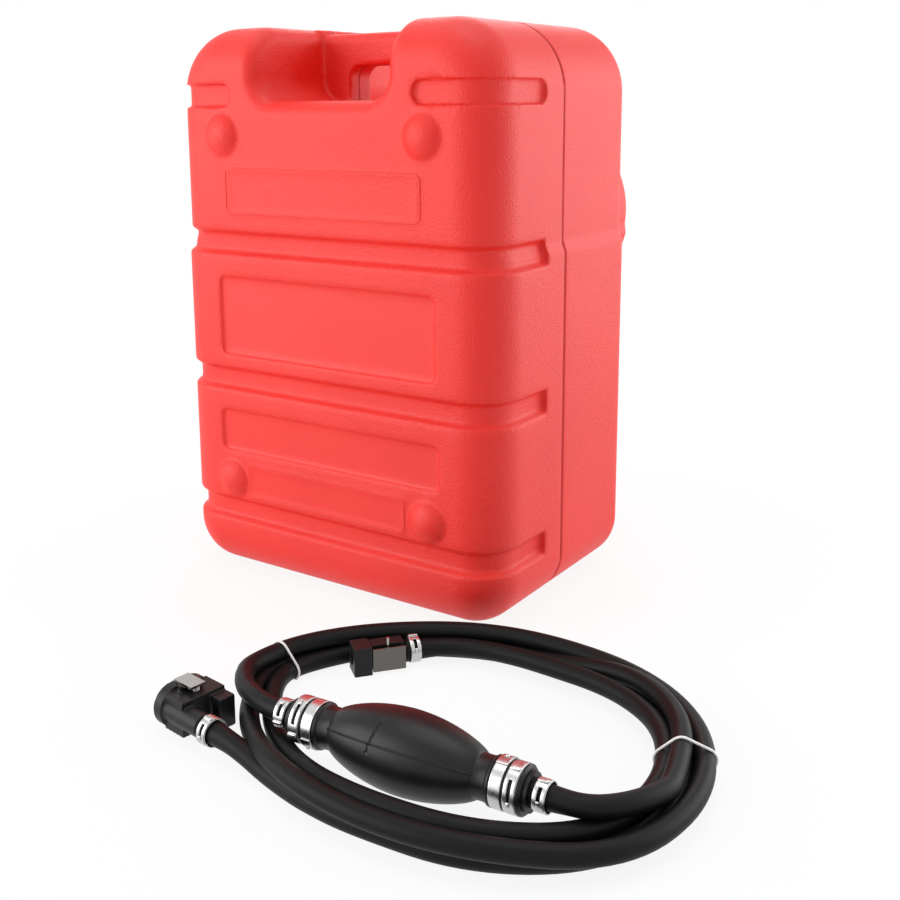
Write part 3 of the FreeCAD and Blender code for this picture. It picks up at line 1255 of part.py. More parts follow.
def tank_connector():
    """Connector for the tank's nipple: block, latch plate on a pin, sprung valve."""
    frame = tank_end()
    half = "tank_end_thick / 2"
    shoulder = "(tank_end_length - nose_length)"
    back = "(%s - lever_recess)" % half
    nose = block("nose", (shoulder, "0 - " + half, "0"), ("tank_end_length", half, "tank_end_height"))
    tail = block("tail", ("0", "0 - " + half, "tail_step"),
                 (shoulder, back, "tank_end_height - tail_step"))
    side = "(0 - axis_back)"
    barb = rod("tank_barb", "X", ("0 - barb_length", side, "tank_end_axis"), "barb_length + bury",
               "barb_radius")
    pivot_x = "(%s / 2 + lever_gap)" % shoulder
    pivot_y = "(%s - lever_thick - lever_turn_room)" % half
    low = "(lever_margin + lever_gap + 2 * lever_ear)"
    high = "(tank_end_height - lever_margin - lever_gap - 2 * lever_ear)"
    hub = rod("pivot_boss", "Z", (pivot_x, pivot_y, low), "%s - %s" % (high, low), "lever_hub")
    web = block("pivot_web", (pivot_x + " - web_half", back + " - bury", low),
                (pivot_x + " + web_half", pivot_y, high))
    hole = rod("pivot_hole", "Z", (pivot_x, pivot_y, "0"), "tank_end_height + overcut",
               "lever_pin + running_gap")
    cuts = passage_cuts("tank", side, "tank_end_axis", "tank_end_length", "tank_chamber",
                        "(0 - barb_length)")
    body = cut("tank_connector_cut", fuse("tank_connector_fuse", [nose, tail, barb, hub, web]),
               cuts + [hole])
    node("tank_connector", body, frame)
    plate_low = "lever_margin"
    plate_high = "(tank_end_height - lever_margin)"
    plate = block("latch_plate", ("lever_gap", half + " - lever_thick", plate_low),
                  (shoulder + " - lever_gap", half, plate_high))
    ears = []
    for start in (low + " - lever_gap - lever_ear", high + " + lever_gap"):
        ears.append(block("latch_ear",
                          (pivot_x + " - latch_ear_half", pivot_y + " - latch_ear_back", start),
                          (pivot_x + " + latch_ear_half", half, start + " + lever_ear")))
    lever_hole = rod("latch_hole", "Z", (pivot_x, pivot_y, "0"), "tank_end_height + overcut",
                     "lever_pin + running_gap")
    node("tank_latch", cut("tank_latch_cut", fuse("tank_latch_fuse", [plate] + ears), [lever_hole]),
         frame)
    pin = rod("tank_latch_pin_rod", "Z", (pivot_x, pivot_y, "lever_margin"),
              "tank_end_height + lever_pin_rise - lever_margin", "lever_pin")
    node("tank_latch_pin", single("tank_pin_group", pin), frame)
    line = passage(frame, -size("axis_back"), size("tank_end_axis"))
    seat = "(tank_end_length - socket_depth - seat_wall)"
    valve("tank_plunger", line, seat, "(seat_wall + valve_travel)")
    seat_at = size("tank_end_length") - size("socket_depth") - size("seat_wall")
    gap = size("running_gap")
    spring("tank_plunger_spring", line, size("tank_chamber") + gap,
           seat_at - size("valve_head_length") - 2 * gap, "valve_spring")
    socket_seal("tank_seal", line, size("tank_end_length"))
    foot = Vector(size("tank_spring_at"), size("tank_end_thick") / 2 - size("lever_recess"),
                  size("tank_end_axis"))
    spring("tank_latch_spring", frame * Placement(foot, TO_REAR), gap,
           size("lever_recess") - size("lever_thick") - gap, "latch_spring", "latch_spring_turns")
    return line


def socket_seal(name, line, face):
    """Sealing ring in the middle of a socket."""
    section = size("ring_radius")
    radius = size("nipple_radius") + size("socket_gap") + section - size("ring_squeeze")
    middle = face - size("socket_depth") / 2 + section + size("ring_play") / 2
    node(name, solid(name, Part.makeTorus(radius, section, Vector(0, 0, middle))), line)


def engine_connector():
    """Connector for the engine: oval flange, body, side boss for the hose, top latch."""
    frame = engine_end()
    level = "oval_height / 2"
    straight = "(oval_half - oval_height / 2)"
    oval = [block("oval_middle", ("0", "0 - " + straight, "0"),
                  ("oval_thick", straight, "oval_height"))]
    for sign in (-1, 1):
        oval.append(rod("oval_end", "X", ("0", "%d * %s" % (sign, straight), level), "oval_thick",
                        level))
    top = "(oval_height - engine_body_margin)"
    body = block("engine_body", ("0 - body_back", "0 - engine_body_half", "engine_body_margin"),
                 ("bury", "engine_body_half", top))
    ear = block("engine_ear", ("0 - engine_body_length", "0 - engine_body_half", "engine_body_margin"),
                ("bury - body_back", "side_ear_width - engine_body_half", top + " - side_ear_drop"))
    window = block("engine_window",
                   ("window_wall - engine_body_length", "0 - engine_body_half - overcut", "window_low"),
                   ("0 - body_back - window_margin", "0", "window_high"))
    boss = rod("engine_boss", "X", ("0 - fuel_boss_reach", "fuel_side", level), "fuel_boss_reach",
               "fuel_boss")
    barb = rod("engine_barb", "X", ("0 - fuel_boss_reach - barb_length", "fuel_side", level),
               "barb_length + bury", "barb_radius")
    pivot_x = "(0 - latch_pivot)"
    pivot_z = "(%s + lever_hub + lever_gap)" % top
    lugs = []
    for start in ("latch_half + lever_gap", "0 - latch_half - lever_gap - lug_thick"):
        lugs.append(block("latch_lug", (pivot_x + " - lug_half", start, top + " - bury"),
                          (pivot_x + " + lug_half", start + " + lug_thick", pivot_z + " + lug_rise")))
    pin_hole = rod("engine_pin_hole", "Y", (pivot_x, "0 - engine_body_half", pivot_z),
                   "2 * engine_body_half", "lever_pin + running_gap")
    peg = rod("peg_hole", "X", ("oval_thick - socket_depth", "0 - peg_side", level),
              "socket_depth + cut_past", "peg_radius")
    cuts = passage_cuts("engine", "fuel_side", level, "oval_thick",
                        "(engine_chamber - fuel_boss_reach)", "(0 - fuel_boss_reach - barb_length)")
    pieces = oval + [body, ear, boss, barb] + lugs
    node("engine_connector", cut("engine_connector_cut", fuse("engine_fuse", pieces),
                                 [window, pin_hole, peg] + cuts), frame)
    under = "(oval_height + lever_gap * 2)"
    plate = block("engine_latch_plate", ("latch_front - latch_length", "0 - latch_half", under),
                  ("latch_front", "latch_half", under + " + lever_thick"))
    hub = rod("engine_latch_hub", "Y", (pivot_x, "0 - latch_half", pivot_z), "2 * latch_half",
              "lever_hub")
    web = block("engine_latch_web", (pivot_x + " - web_half", "0 - latch_half", pivot_z),
                (pivot_x + " + web_half", "latch_half", under + " + bury"))
    bore = rod("engine_latch_bore", "Y", (pivot_x, "0 - engine_body_half", pivot_z),
               "2 * engine_body_half", "lever_pin + running_gap")
    node("engine_latch", cut("engine_latch_cut", fuse("engine_latch_fuse", [plate, hub, web]), [bore]),
         frame)
    end = "(latch_half + lever_gap + lug_thick)"
    pin = rod("engine_latch_pin_rod", "Y", (pivot_x, "0 - " + end, pivot_z), "2 * " + end, "lever_pin")
    node("engine_latch_pin", single("engine_pin_group", pin), frame)
    line = passage(frame, size("fuel_side"), size("oval_height") / 2)
    seat = "(oval_thick - socket_depth - seat_wall)"
    valve("engine_plunger", line, seat, "(seat_wall + valve_travel)")
    gap = size("running_gap")
    seat_at = size("oval_thick") - size("socket_depth") - size("seat_wall")
    spring("engine_plunger_spring", line, size("engine_chamber") - size("fuel_boss_reach") + gap,
           seat_at - size("valve_head_length") - 2 * gap, "valve_spring")
    socket_seal("engine_seal", line, size("oval_thick"))
    foot = Vector(-size("engine_spring_at"), 0, size("oval_height") - size("engine_body_margin"))
    spring("engine_latch_spring", frame * Placement(foot, Rotation()), gap,
           size("engine_body_margin") + 2 * size("lever_gap") - gap, "latch_spring",
           "latch_spring_turns")
    return line


# ---------------------------------------------------------------- hoses

def bends(points, closed=False):
    """Straight runs joined by tangent arcs as large as their runs allow."""
    count = len(points)
    corners = range(count) if closed else range(1, count - 1)
    edges = []
    radii = []
    previous = None if closed else points[0]
    first = None
    for k in corners:
        corner = points[k]
        before = points[k - 1] - corner
        after = points[(k + 1) % count] - corner
        turn = math.pi - before.getAngle(after)
        reach = ARC_SHARE * min(before.Length, after.Length)
        radii.append(reach / math.tan(turn / 2))
        start = corner + before.normalize() * reach
        stop = corner + after.normalize() * reach
        bisector = (before + after).normalize()
        middle = corner + bisector * (radii[-1] / math.cos(turn / 2) - radii[-1])
        if previous is not None:
            edges.append(Part.LineSegment(previous, start).toShape())
        else:
            first = start
        edges.append(Part.Arc(start, middle, stop).toShape())
        previous = stop
    edges.append(Part.LineSegment(previous, first if closed else points[-1]).toShape())
    return Part.Wire(edges), radii


def hose(name, route):
    """A free stretch of hose with a swollen cuff over its barb."""
    points = [Vector(*spot) for spot in route]
    wire, radii = bends(points)
    along = (points[1] - points[0]).normalize()
    outer = size("hose_radius")
    inner = size("hose_bore")
    tubes = []
    for radius in (outer, inner):
        section = Part.Wire([Part.makeCircle(radius, points[0], along)])
        tubes.append(wire.makePipeShell([section], True, True))
    expected = math.pi * outer * outer * wire.Length
    print("%s: length %.1f, radii %s, volume ratio %.4f" % (
        name, wire.Length, ["%.0f" % r for r in radii], tubes[0].Volume / expected))
    cuff = Part.makeCylinder(size("cuff_radius"), size("cuff_length"), points[0], along)
    shape = tubes[0].fuse(cuff).cut(tubes[1]).removeSplitter()
    node(name, solid(name, shape))


def bundle_section(grow):
    """Section of the bundle: two hoses side by side on the floor, one on top."""
    radius = size("hose_radius")
    half = size("bundle_half")
    rise = radius + math.sqrt((2 * radius) ** 2 - half ** 2)
    spots = [(-half, radius), (half, radius), (0, rise)]
    discs = [Part.Face(Part.Wire([Part.makeCircle(radius + grow, Vector(x, z, 0))]))
             for x, z in spots]
    core = Part.Face(Part.makePolygon([Vector(x, z, 0) for x, z in spots + spots[:1]]))
    shape = core.multiFuse(discs)
    for (ax, az), (bx, bz) in zip(spots, spots[1:] + spots[:1]):
        run = Vector(bx - ax, bz - az, 0)
        side = Vector(run.y, -run.x, 0).normalize() * (radius + grow)
        a = Vector(ax, az, 0)
        b = Vector(bx, bz, 0)
        shape = shape.fuse(Part.Face(Part.makePolygon([a, b, b + side, a + side, a])))
    return shape.removeSplitter()


def across(spot, along):
    """Place a flat section upright across the bundle at one spot."""
    inward = Vector(-along.y, along.x, 0).normalize()
    turn = Rotation(inward, Vector(0, 0, 1), along, "ZXY")
    return Placement(spot, turn)


def hose_coil():
    """The tied bundle of hose, as one ring of its outer shape."""
    points = [Vector(x, y, 0) for x, y in COIL_STATIONS]
    wire, radii = bends(points, closed=True)
    print("bundle: length %.1f, smallest radius %.0f" % (wire.Length, min(radii)))
    edge = wire.Edges[0]
    start = edge.valueAt(edge.FirstParameter)
    section = bundle_section(0).Faces[0].OuterWire
    section.Placement = across(start, edge.tangentAt(edge.FirstParameter))
    ring = wire.makePipeShell([section], True, False)
    ties = []
    slots = []
    for number in (6, 0):
        low = points[number]
        high = points[number + 1]
        spot = (low + high) / 2
        place = across(spot, (high - low).normalize())
        ties.append(tie_ring(place))
        slots.append(tie_slot(place))
    node("hose_coil", solid("hose_coil", ring.cut(slots[0]).cut(slots[1])))
    node("coil_ties", solid("coil_ties", Part.makeCompound(ties)))


def tie_ring(place):
    """A flat tie drawn round the bundle; its lower run lies on the floor."""
    width = size("tie_width")
    thick = size("tie_thick")
    gap = size("running_gap")
    outer = slab(bundle_section(thick + gap), width)
    inner = slab(bundle_section(gap), width + 2 * size("cut_past"))
    span = 4 * (size("bundle_half") + 2 * size("hose_radius"))
    floor = Part.makeBox(span, span, span, Vector(-span / 2, -span, -span / 2))
    raised = Part.makeBox(span, span, span, Vector(-span / 2, thick - span, -span / 2))
    shape = outer.cut(floor).cut(inner.cut(raised)).removeSplitter()
    shape.Placement = place
    return shape


def tie_slot(place):
    """Where the hoses are pressed up over a tie."""
    width = size("tie_width") + 2 * size("tie_thick")
    reach = size("bundle_half") + 2 * size("hose_radius")
    past = size("cut_past")
    shape = Part.makeBox(2 * reach, size("tie_thick") + size("running_gap") + past, width,
                         Vector(-reach, -past, -width / 2))
    shape.Placement = place
    return shape


def slab(face, width):
    """A flat section given a thickness on both sides."""
    shape = face.Faces[0].extrude(Vector(0, 0, width))
    shape.translate(Vector(0, 0, -width / 2))
    return shape


def hose_clamps(lines):
    """Four stainless hose clamps, as one group of separate solids."""
    clamps = []
    for place, low in lines:
        clamp = strap(size("cuff_radius"), low, size("clamp_width"))
        clamp.Placement = place
        clamps.append(clamp)
    node("hose_clamps", solid("hose_clamps", Part.makeCompound(clamps)))


# ------------------------------------------------------------------ assembly

tank_shell()
filler_parts()
pickup_flange()
pickup_gasket()
flange_screws()
gauge_parts()
float_parts()
pickup_parts()
outlet_parts()
bulb_parts()
tank_line = tank_connector()
engine_line = engine_connector()
hose("hose_bulb_outlet", OUTLET_ROUTE)
hose("hose_bulb_inlet", INLET_ROUTE)
hose("hose_engine_end", ENGINE_ROUTE)
hose("hose_tank_end", TANK_ROUTE)
hose_coil()
clamp_at = (size("neck_start") - size("collar_thick") - size("clamp_inset")
            - size("clamp_width"))
bare = size("clamp_inset") + size("clamp_width") + size("hose_shoulder")
hose_clamps([
    (outlet_end(), clamp_at),
    (inlet_end(), clamp_at),
    (tank_line, -bare),
    (engine_line, -size("fuel_boss_reach") - bare),
])
doc.recompute()

for item in doc.Objects:
    if "Invalid" in item.State or "Error" in item.State:
        raise RuntimeError("%s failed: %s" % (item.Name, item.State))
os.makedirs("parts", exist_ok=True)
for name, thing in nodes:
    if thing.Shape.isNull() or not thing.Shape.isValid() or not thing.Shape.Solids:
        raise RuntimeError(name + " has no valid shape")
for name, thing in nodes:
    thing.Shape.exportStep(os.path.join("parts", name + ".step"))
print("%d sub-parts written" % len(nodes))
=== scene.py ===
"""A portable fuel tank for an outboard engine, with its coiled fuel line."""
import json
import math

import bmesh
import bpy
from mathutils import Matrix, Vector


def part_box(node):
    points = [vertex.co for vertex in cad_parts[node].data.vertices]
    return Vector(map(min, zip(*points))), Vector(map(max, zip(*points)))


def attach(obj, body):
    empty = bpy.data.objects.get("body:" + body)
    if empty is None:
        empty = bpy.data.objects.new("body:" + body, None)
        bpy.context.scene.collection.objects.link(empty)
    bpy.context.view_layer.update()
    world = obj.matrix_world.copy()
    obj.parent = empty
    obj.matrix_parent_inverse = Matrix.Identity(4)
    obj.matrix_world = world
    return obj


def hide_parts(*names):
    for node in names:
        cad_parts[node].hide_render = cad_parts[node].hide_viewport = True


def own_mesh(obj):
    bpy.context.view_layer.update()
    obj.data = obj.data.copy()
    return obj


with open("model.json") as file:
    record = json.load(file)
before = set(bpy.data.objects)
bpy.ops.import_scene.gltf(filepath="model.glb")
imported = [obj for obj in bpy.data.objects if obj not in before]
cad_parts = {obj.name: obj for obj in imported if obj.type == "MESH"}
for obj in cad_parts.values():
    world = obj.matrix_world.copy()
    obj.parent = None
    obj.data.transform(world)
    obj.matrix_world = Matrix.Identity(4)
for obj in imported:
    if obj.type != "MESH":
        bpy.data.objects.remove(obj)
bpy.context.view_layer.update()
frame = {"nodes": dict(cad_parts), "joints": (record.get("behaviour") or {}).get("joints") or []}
nodes = frame["nodes"]

# ---------------------------------------------------------------- camera
# A normal lens a little above the tank, looking down at its front right corner.
# The shift keeps the tank high in the frame, with the hose below it.

# Angles in radians, the sensor and the lens in millimetres.
EYE = Vector((0.4423, -0.6164, 0.3019))
YAW, PITCH, ROLL = -0.6091, 0.1945, -0.0091
SENSOR_WIDTH, LENS_LENGTH = 36, 46.988
SHIFT_ACROSS, SHIFT_UP = 0.03681, -0.12564
flat = math.cos(PITCH)
ahead = Vector((math.sin(YAW) * flat, math.cos(YAW) * flat, -math.sin(PITCH)))
level = Vector((math.cos(YAW), -math.sin(YAW), 0))
upward = level.cross(ahead)
right = level * math.cos(ROLL) + upward * math.sin(ROLL)
top = upward * math.cos(ROLL) - level * math.sin(ROLL)
camera_data = bpy.data.cameras.new("camera")
camera_data.sensor_width = SENSOR_WIDTH
camera_data.lens = LENS_LENGTH
camera_data.shift_x = SHIFT_ACROSS
camera_data.shift_y = SHIFT_UP
camera = bpy.data.objects.new("camera", camera_data)
camera.matrix_world = Matrix((
    (right.x, top.x, -ahead.x, EYE.x),
    (right.y, top.y, -ahead.y, EYE.y),
    (right.z, top.z, -ahead.z, EYE.z),
    (0, 0, 0, 1),
))
bpy.context.scene.collection.objects.link(camera)
bpy.context.scene.camera = camera

# ------------------------------------------------------------- fuel hose
# Black rubber hose of 10 mm in two lengths, one from the bulb to the engine
# connector and one from the tank connector to the bulb. Their turns lie on
# each other in one flat ring that two ties hold.
HOSE_RADIUS = 0.005
BARB_SWELL = 1.26
BEND_EASE = 0.26

# Stations round the ring, in millimetres, as are a strand's places beside them.
RING = [
    (269.5, -176), (251, -128), (213, -99.5), (165, -90), (119, -101), (75, -127), (49, -162),
    (43, -193), (73, -231), (117, -255.5), (165, -265.5), (217, -258), (259, -226),
]
RING_MIDDLE = Vector((165, -178, 0))


def strand(station, outward, height):
    """One control point: a place in the bundle beside one station of the ring."""
    count = len(RING)
    before = Vector((*RING[(station - 1) % count], 0))
    after = Vector((*RING[(station + 1) % count], 0))
    along = (after - before).normalized()
    side = Vector((along.y, -along.x, 0))
    spot = Vector((*RING[station % count], 0))
    if side.dot(spot - RING_MIDDLE) < 0:
        side = -side
    return (spot + side * outward + Vector((0, 0, height))) / 1000


def blank_material(name):
    """A new node material, its node tree and its main shader."""
    material = bpy.data.materials.new(name)
    material.use_nodes = True
    tree = material.node_tree
    return material, tree, tree.nodes["Principled BSDF"]


def noise(tree, place, scale, detail):
    """A noise pattern, read at the place that a vector gives."""
    pattern = tree.nodes.new("ShaderNodeTexNoise")
    pattern.inputs["Scale"].default_value = scale
    pattern.inputs["Detail"].default_value = detail
    tree.links.new(place, pattern.inputs["Vector"])
    return pattern.outputs["Fac"]


def uneven_sheen(tree, shader, pattern, low, high):
    """Let the roughness run between two values with a pattern."""
    sheen = tree.nodes.new("ShaderNodeMapRange")
    sheen.inputs["To Min"].default_value = low
    sheen.inputs["To Max"].default_value = high
    tree.links.new(pattern, sheen.inputs["Value"])
    tree.links.new(sheen.outputs["Result"], shader.inputs["Roughness"])


def relief(tree, height, strength, depth, under=None):
    """Raise the surface by a pattern, over another relief if one is given."""
    bump = tree.nodes.new("ShaderNodeBump")
    bump.inputs["Strength"].default_value = strength
    bump.inputs["Distance"].default_value = depth
    tree.links.new(height, bump.inputs["Height"])
    if under is not None:
        tree.links.new(under, bump.inputs["Normal"])
    return bump.outputs["Normal"]


def dull_material(name, colour, roughness, grain, depth, specular):
    """Rubber or moulded plastic: a fine grain, faint patches and an uneven sheen."""
    material, tree, shader = blank_material(name)
    shader.inputs["Specular IOR Level"].default_value = specular
    place = tree.nodes.new("ShaderNodeTexCoord").outputs["Object"]
    patches = noise(tree, place, 60, 4)
    tint = tree.nodes.new("ShaderNodeValToRGB")
    tint.color_ramp.elements[0].color = (*[c * 0.75 for c in colour], 1)
    tint.color_ramp.elements[1].color = (*[c * 1.3 for c in colour], 1)
    tree.links.new(patches, tint.inputs["Fac"])
    tree.links.new(tint.outputs["Color"], shader.inputs["Base Color"])
    uneven_sheen(tree, shader, patches, roughness - 0.06, roughness + 0.06)
    fine = noise(tree, place, grain, 3)
    tree.links.new(relief(tree, fine, 0.4, depth), shader.inputs["Normal"])
    return material


hose_rubber = dull_material("hose_rubber", (0.004, 0.0037, 0.004), roughness=0.5, grain=900,
                            depth=0.0001, specular=0.17)


def laid(route):
    """Push each inner point out of its bend, so that the curve runs through the points."""
    points = [Vector(spot) for spot in route]
    eased = [p + (p - (a + b) / 2) * BEND_EASE for a, p, b in zip(points, points[1:], points[2:])]
    return [points[0], points[1], *eased[1:-1], points[-2], points[-1]]


def hose(name, route):
    """A hose along the given points, swollen a little over the barb at each end."""
    curve = bpy.data.curves.new(name, "CURVE")
    curve.dimensions = "3D"
    curve.bevel_depth = HOSE_RADIUS
    curve.bevel_resolution = 8
    curve.resolution_u = 10
    spline = curve.splines.new("NURBS")
    spline.points.add(len(route) - 1)
    for point, spot in zip(spline.points, route):
        point.co = (*spot, 1)
    spline.order_u = 3
    spline.use_endpoint_u = True
    spline.points[0].radius = spline.points[-1].radius = BARB_SWELL
    curve.use_fill_caps = True
    curve.materials.append(hose_rubber)
    piece = bpy.data.objects.new(name, curve)
    bpy.context.scene.collection.objects.link(piece)
    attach(piece, "tank")
    return piece


to_engine = [
    (0.1030, -0.2328, 0.0200), (0.0910, -0.2335, 0.0200), (0.0760, -0.2290, 0.0190),
    (0.0610, -0.2210, 0.0170), (0.0485, -0.2090, 0.0150),
]
for station, outward, height in (
    (7, 1.5, 13.8), (6, 0.5, 13.7), (5, 0, 13.7), (4, 3.5, 13.6), (3, 1.5, 13.7), (2, 8, 11),
    (1, 8.7, 10), (0, 8.7, 10), (12, 8.7, 11), (11, 5, 13.7), (10, 5, 13.7), (9, 6.5, 14.8),
    (8, 1, 8), (7, -2, 5), (6, 3, 5), (5, 7, 5), (4, 9, 5), (3, 5, 5), (2, 0, 5), (1, 0, 5),
    (0, 0, 5), (12, 0, 5), (11, 0, 5), (10, 0, 5),
):
    to_engine.append(strand(station, outward, height))
to_engine += [
    (0.1370, -0.2645, 0.0051), (0.1200, -0.2615, 0.0051), (0.1060, -0.2585, 0.0058),
    (0.0930, -0.2565, 0.0085), (0.0790, -0.2549, 0.0110), (0.0635, -0.2527, 0.0110),
]
to_tank = [
    (0.2267, -0.2250, 0.0200), (0.2390, -0.2245, 0.0202), (0.2520, -0.2205, 0.0200),
    (0.2625, -0.2085, 0.0190), (0.2685, -0.1925, 0.0175),
]
for station, outward, height in (
    (0, -1.5, 15.8), (1, 0, 15), (2, 0, 14.5), (3, -6, 7.5), (4, -0.5, 5), (5, -2.5, 5),
    (6, -6, 5), (7, -11, 5), (8, -10.5, 5.5), (9, -6, 9.5), (10, -5, 13.7), (11, -5, 13.7),
    (12, -8.7, 10), (0, -8.7, 10), (1, -8.7, 10), (2, -11, 10), (3, -14.5, 9.8),
):
    to_tank.append(strand(station, outward, height))
to_tank += [
    (0.1440, -0.1040, 0.0094), (0.1285, -0.1060, 0.0090), (0.1145, -0.1100, 0.0085),
    (0.1019, -0.1170, 0.0081), (0.0919, -0.1286, 0.0080),
]
to_engine, to_tank = laid(to_engine), laid(to_tank)
engine_hose = hose("engine_hose", to_engine)
tank_hose = hose("tank_hose", to_tank)
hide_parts("hose_coil", "hose_bulb_outlet", "hose_engine_end")
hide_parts("hose_bulb_inlet", "hose_tank_end")

# ----------------------------------------------------------------- ties
# Two thin white plastic ties, each drawn once round all the turns of hose
# where they lie closest together.
TIE_RADIUS = 0.00065
TIE_SLACK = 0.0005
TIE_REACH = 0.035
TIE_CORNERS = 48
white_plastic = dull_material("white_plastic", (0.9, 0.9, 0.89), roughness=0.5, grain=1500,
                              depth=0.00004, specular=0.5)


def crossings(place, along, side):
    """Where the turns of both hoses cross a plane: (sideways, height) from a place."""
    found = []
    for route in (to_engine, to_tank):
        for first, second in zip(route, route[1:]):
            before = (first - place).dot(along)
            after = (second - place).dot(along)
            if before * after >= 0:
                continue
            spot = first.lerp(second, before / (before - after))
            if abs((spot - place).dot(side)) < TIE_REACH:
                found.append(Vector(((spot - place).dot(side), spot.z)))
    return found


def closed_line(name, spots, radius, roundness, material):
    """A thin round line through all the spots and back to the first."""
    curve = bpy.data.curves.new(name, "CURVE")
    curve.dimensions = "3D"
    curve.bevel_depth = radius
    curve.bevel_resolution = roundness
    spline = curve.splines.new("POLY")
    spline.points.add(len(spots) - 1)
    for point, spot in zip(spline.points, spots):
        point.co = (*spot, 1)
    spline.use_cyclic_u = True
    curve.materials.append(material)
    piece = bpy.data.objects.new(name, curve)
    bpy.context.scene.collection.objects.link(piece)
    return piece


def tie(name, place, heading):
    """A closed loop drawn round the turns at one place, square to their run."""
    place = Vector(place)
    along = Vector((math.cos(heading), math.sin(heading), 0))
    side = Vector((along.y, -along.x, 0))
    turns = crossings(place, along, side)
    spots = []
    for step in range(TIE_CORNERS):
        angle = math.tau * step / TIE_CORNERS
        aim = Vector((math.cos(angle), math.sin(angle)))
        outermost = max(turns, key=lambda turn: turn.dot(aim))
        spot = outermost + aim * (HOSE_RADIUS + TIE_SLACK)
        spots.append(place + side * spot.x + Vector((0, 0, max(spot.y, TIE_RADIUS))))
    piece = closed_line(name, spots, TIE_RADIUS, 4, white_plastic)
    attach(piece, "tank")
    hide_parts("coil_ties")


tie("tie_left", (0.047, -0.176, 0), math.radians(90))
tie("tie_right", (0.2640, -0.149, 0), math.radians(121))

# ----------------------------------------------------------- primer bulb
# A hand-squeezed football of black rubber. Its two necks hold the barbed
# fittings. Two moulded seams run along it, and a short slanted notch crosses
# the front one.
BULB_START = Vector((0.0930, -0.2334, 0.0200))
BULB_HEADING = math.radians(3.6)
BULB_LENGTH = 0.144

# The outline in millimetres, its turns in degrees; rise and depth in metres.
BORE_RADIUS = 8.2
NECK_RADIUS = 10.1
BELLY_START = 35.0
BELLY_RISE = 8.8
BELLY_STEPS = 60
SEAM_TURNS = (-120, 60)
SEAM_HALF_WIDTH = 1.2
SEAM_RISE = 0.00025
NOTCH_HEIGHT = 62
NOTCH_HALF_WIDTH = 0.45
NOTCH_SLANT = 0.06
NOTCH_TURN = -132
NOTCH_HALF_TURN = 26
NOTCH_DEPTH = 0.0004
to_x = Matrix.Rotation(math.pi / 2, 4, "Y")
along_bulb = Matrix.Translation(BULB_START) @ Matrix.Rotation(BULB_HEADING, 4, "Z") @ to_x


def spun(profile, steps):
    """Spin a closed outline of (radius, height) in mm once round the local Z axis."""
    form = bmesh.new()
    spots = [form.verts.new((r / 1000, 0, h / 1000)) for r, h in profile]
    edges = [form.edges.new((a, b)) for a, b in zip(spots, spots[1:] + spots[:1])]
    bmesh.ops.spin(form, geom=spots + edges, cent=(0, 0, 0), axis=(0, 0, 1),
                   angle=2 * math.pi, steps=steps, use_merge=True)
    bmesh.ops.remove_doubles(form, verts=form.verts, dist=1e-6)
    bmesh.ops.recalc_face_normals(form, faces=form.faces)
    return form


def placed(form, name, place, material, body="tank", smooth=40):
    """Turn a finished form into a piece that rides on a body, with its place in its mesh."""
    bmesh.ops.transform(form, matrix=place, verts=form.verts)
    mesh = bpy.data.meshes.new(name)
    form.to_mesh(mesh)
    form.free()
    mesh.materials.append(material)
    piece = bpy.data.objects.new(name, mesh)
    bpy.context.scene.collection.objects.link(piece)
    mesh.shade_smooth()
    if smooth < 180:
        mesh.set_sharp_from_angle(angle=math.radians(smooth))
    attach(piece, body)
    return piece


def bulb_outline():
    """Outer line of the bulb from neck to neck; the bore closes it."""
    half = BULB_LENGTH * 1000 / 2
    line = [(BORE_RADIUS, 12.0), (9.9, 12.0), (10.9, 13.0), (10.9, 13.6), (10.5, 13.8),
            (10.5, 19.5), (10.8, 19.8), (10.8, 20.3), (10.5, 20.6), (10.5, 26.6),
            (11.1, 27.0), (11.0, 28.0), (10.1, 29.0), (9.8, 31.5), (9.9, 34.0)]
    for step in range(BELLY_STEPS):
        height = BELLY_START + (half - BELLY_START) * step / BELLY_STEPS
        share = (half - height) / (half - BELLY_START)
        line.append((NECK_RADIUS + BELLY_RISE * (1 - share ** 1.9) ** 0.8, height))
    line.append((NECK_RADIUS + BELLY_RISE, half))
    return line + [(r, 2 * half - h) for r, h in reversed(line[:-1])]


def mark_bulb(form):
    """Raise the two seams out of the belly and sink the notch into it."""
    for corner in form.verts:
        height = corner.co.z * 1000
        if not BELLY_START < height < BULB_LENGTH * 1000 - BELLY_START:
            continue
        radius = math.hypot(corner.co.x, corner.co.y)
        turn = math.degrees(math.atan2(corner.co.y, corner.co.x))
        slanted = NOTCH_HEIGHT - NOTCH_SLANT * (turn - SEAM_TURNS[0])
        if any(abs(turn - at) < SEAM_HALF_WIDTH for at in SEAM_TURNS):
            corner.co.xy *= 1 + SEAM_RISE / radius
        elif abs(height - slanted) < NOTCH_HALF_WIDTH and abs(turn - NOTCH_TURN) < NOTCH_HALF_TURN:
            corner.co.xy *= 1 - NOTCH_DEPTH / radius


form = spun(bulb_outline(), steps=180)
mark_bulb(form)
bulb_rubber = dull_material("bulb_rubber", (0.005, 0.005, 0.0055), roughness=0.38, grain=1300,
                            depth=0.00006, specular=0.3)
bulb = placed(form, "bulb", along_bulb, bulb_rubber, smooth=24)
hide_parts("primer_bulb")

# ------------------------------------------------- clamps and bulb bands
# Stainless clamps: a strip wound once round, whose outer end has a long window
# that a hook of the inner end stands in and holds. Four larger ones, two at
# each neck, band the bulb to its fittings.
CLAMP_THICKNESS = 0.0005
CLAMP_GAP = 0.0001
HOOK_HEIGHT = 0.0016
HOOK_SUNK = 0.0004
EAR_HEIGHT = 0.0014

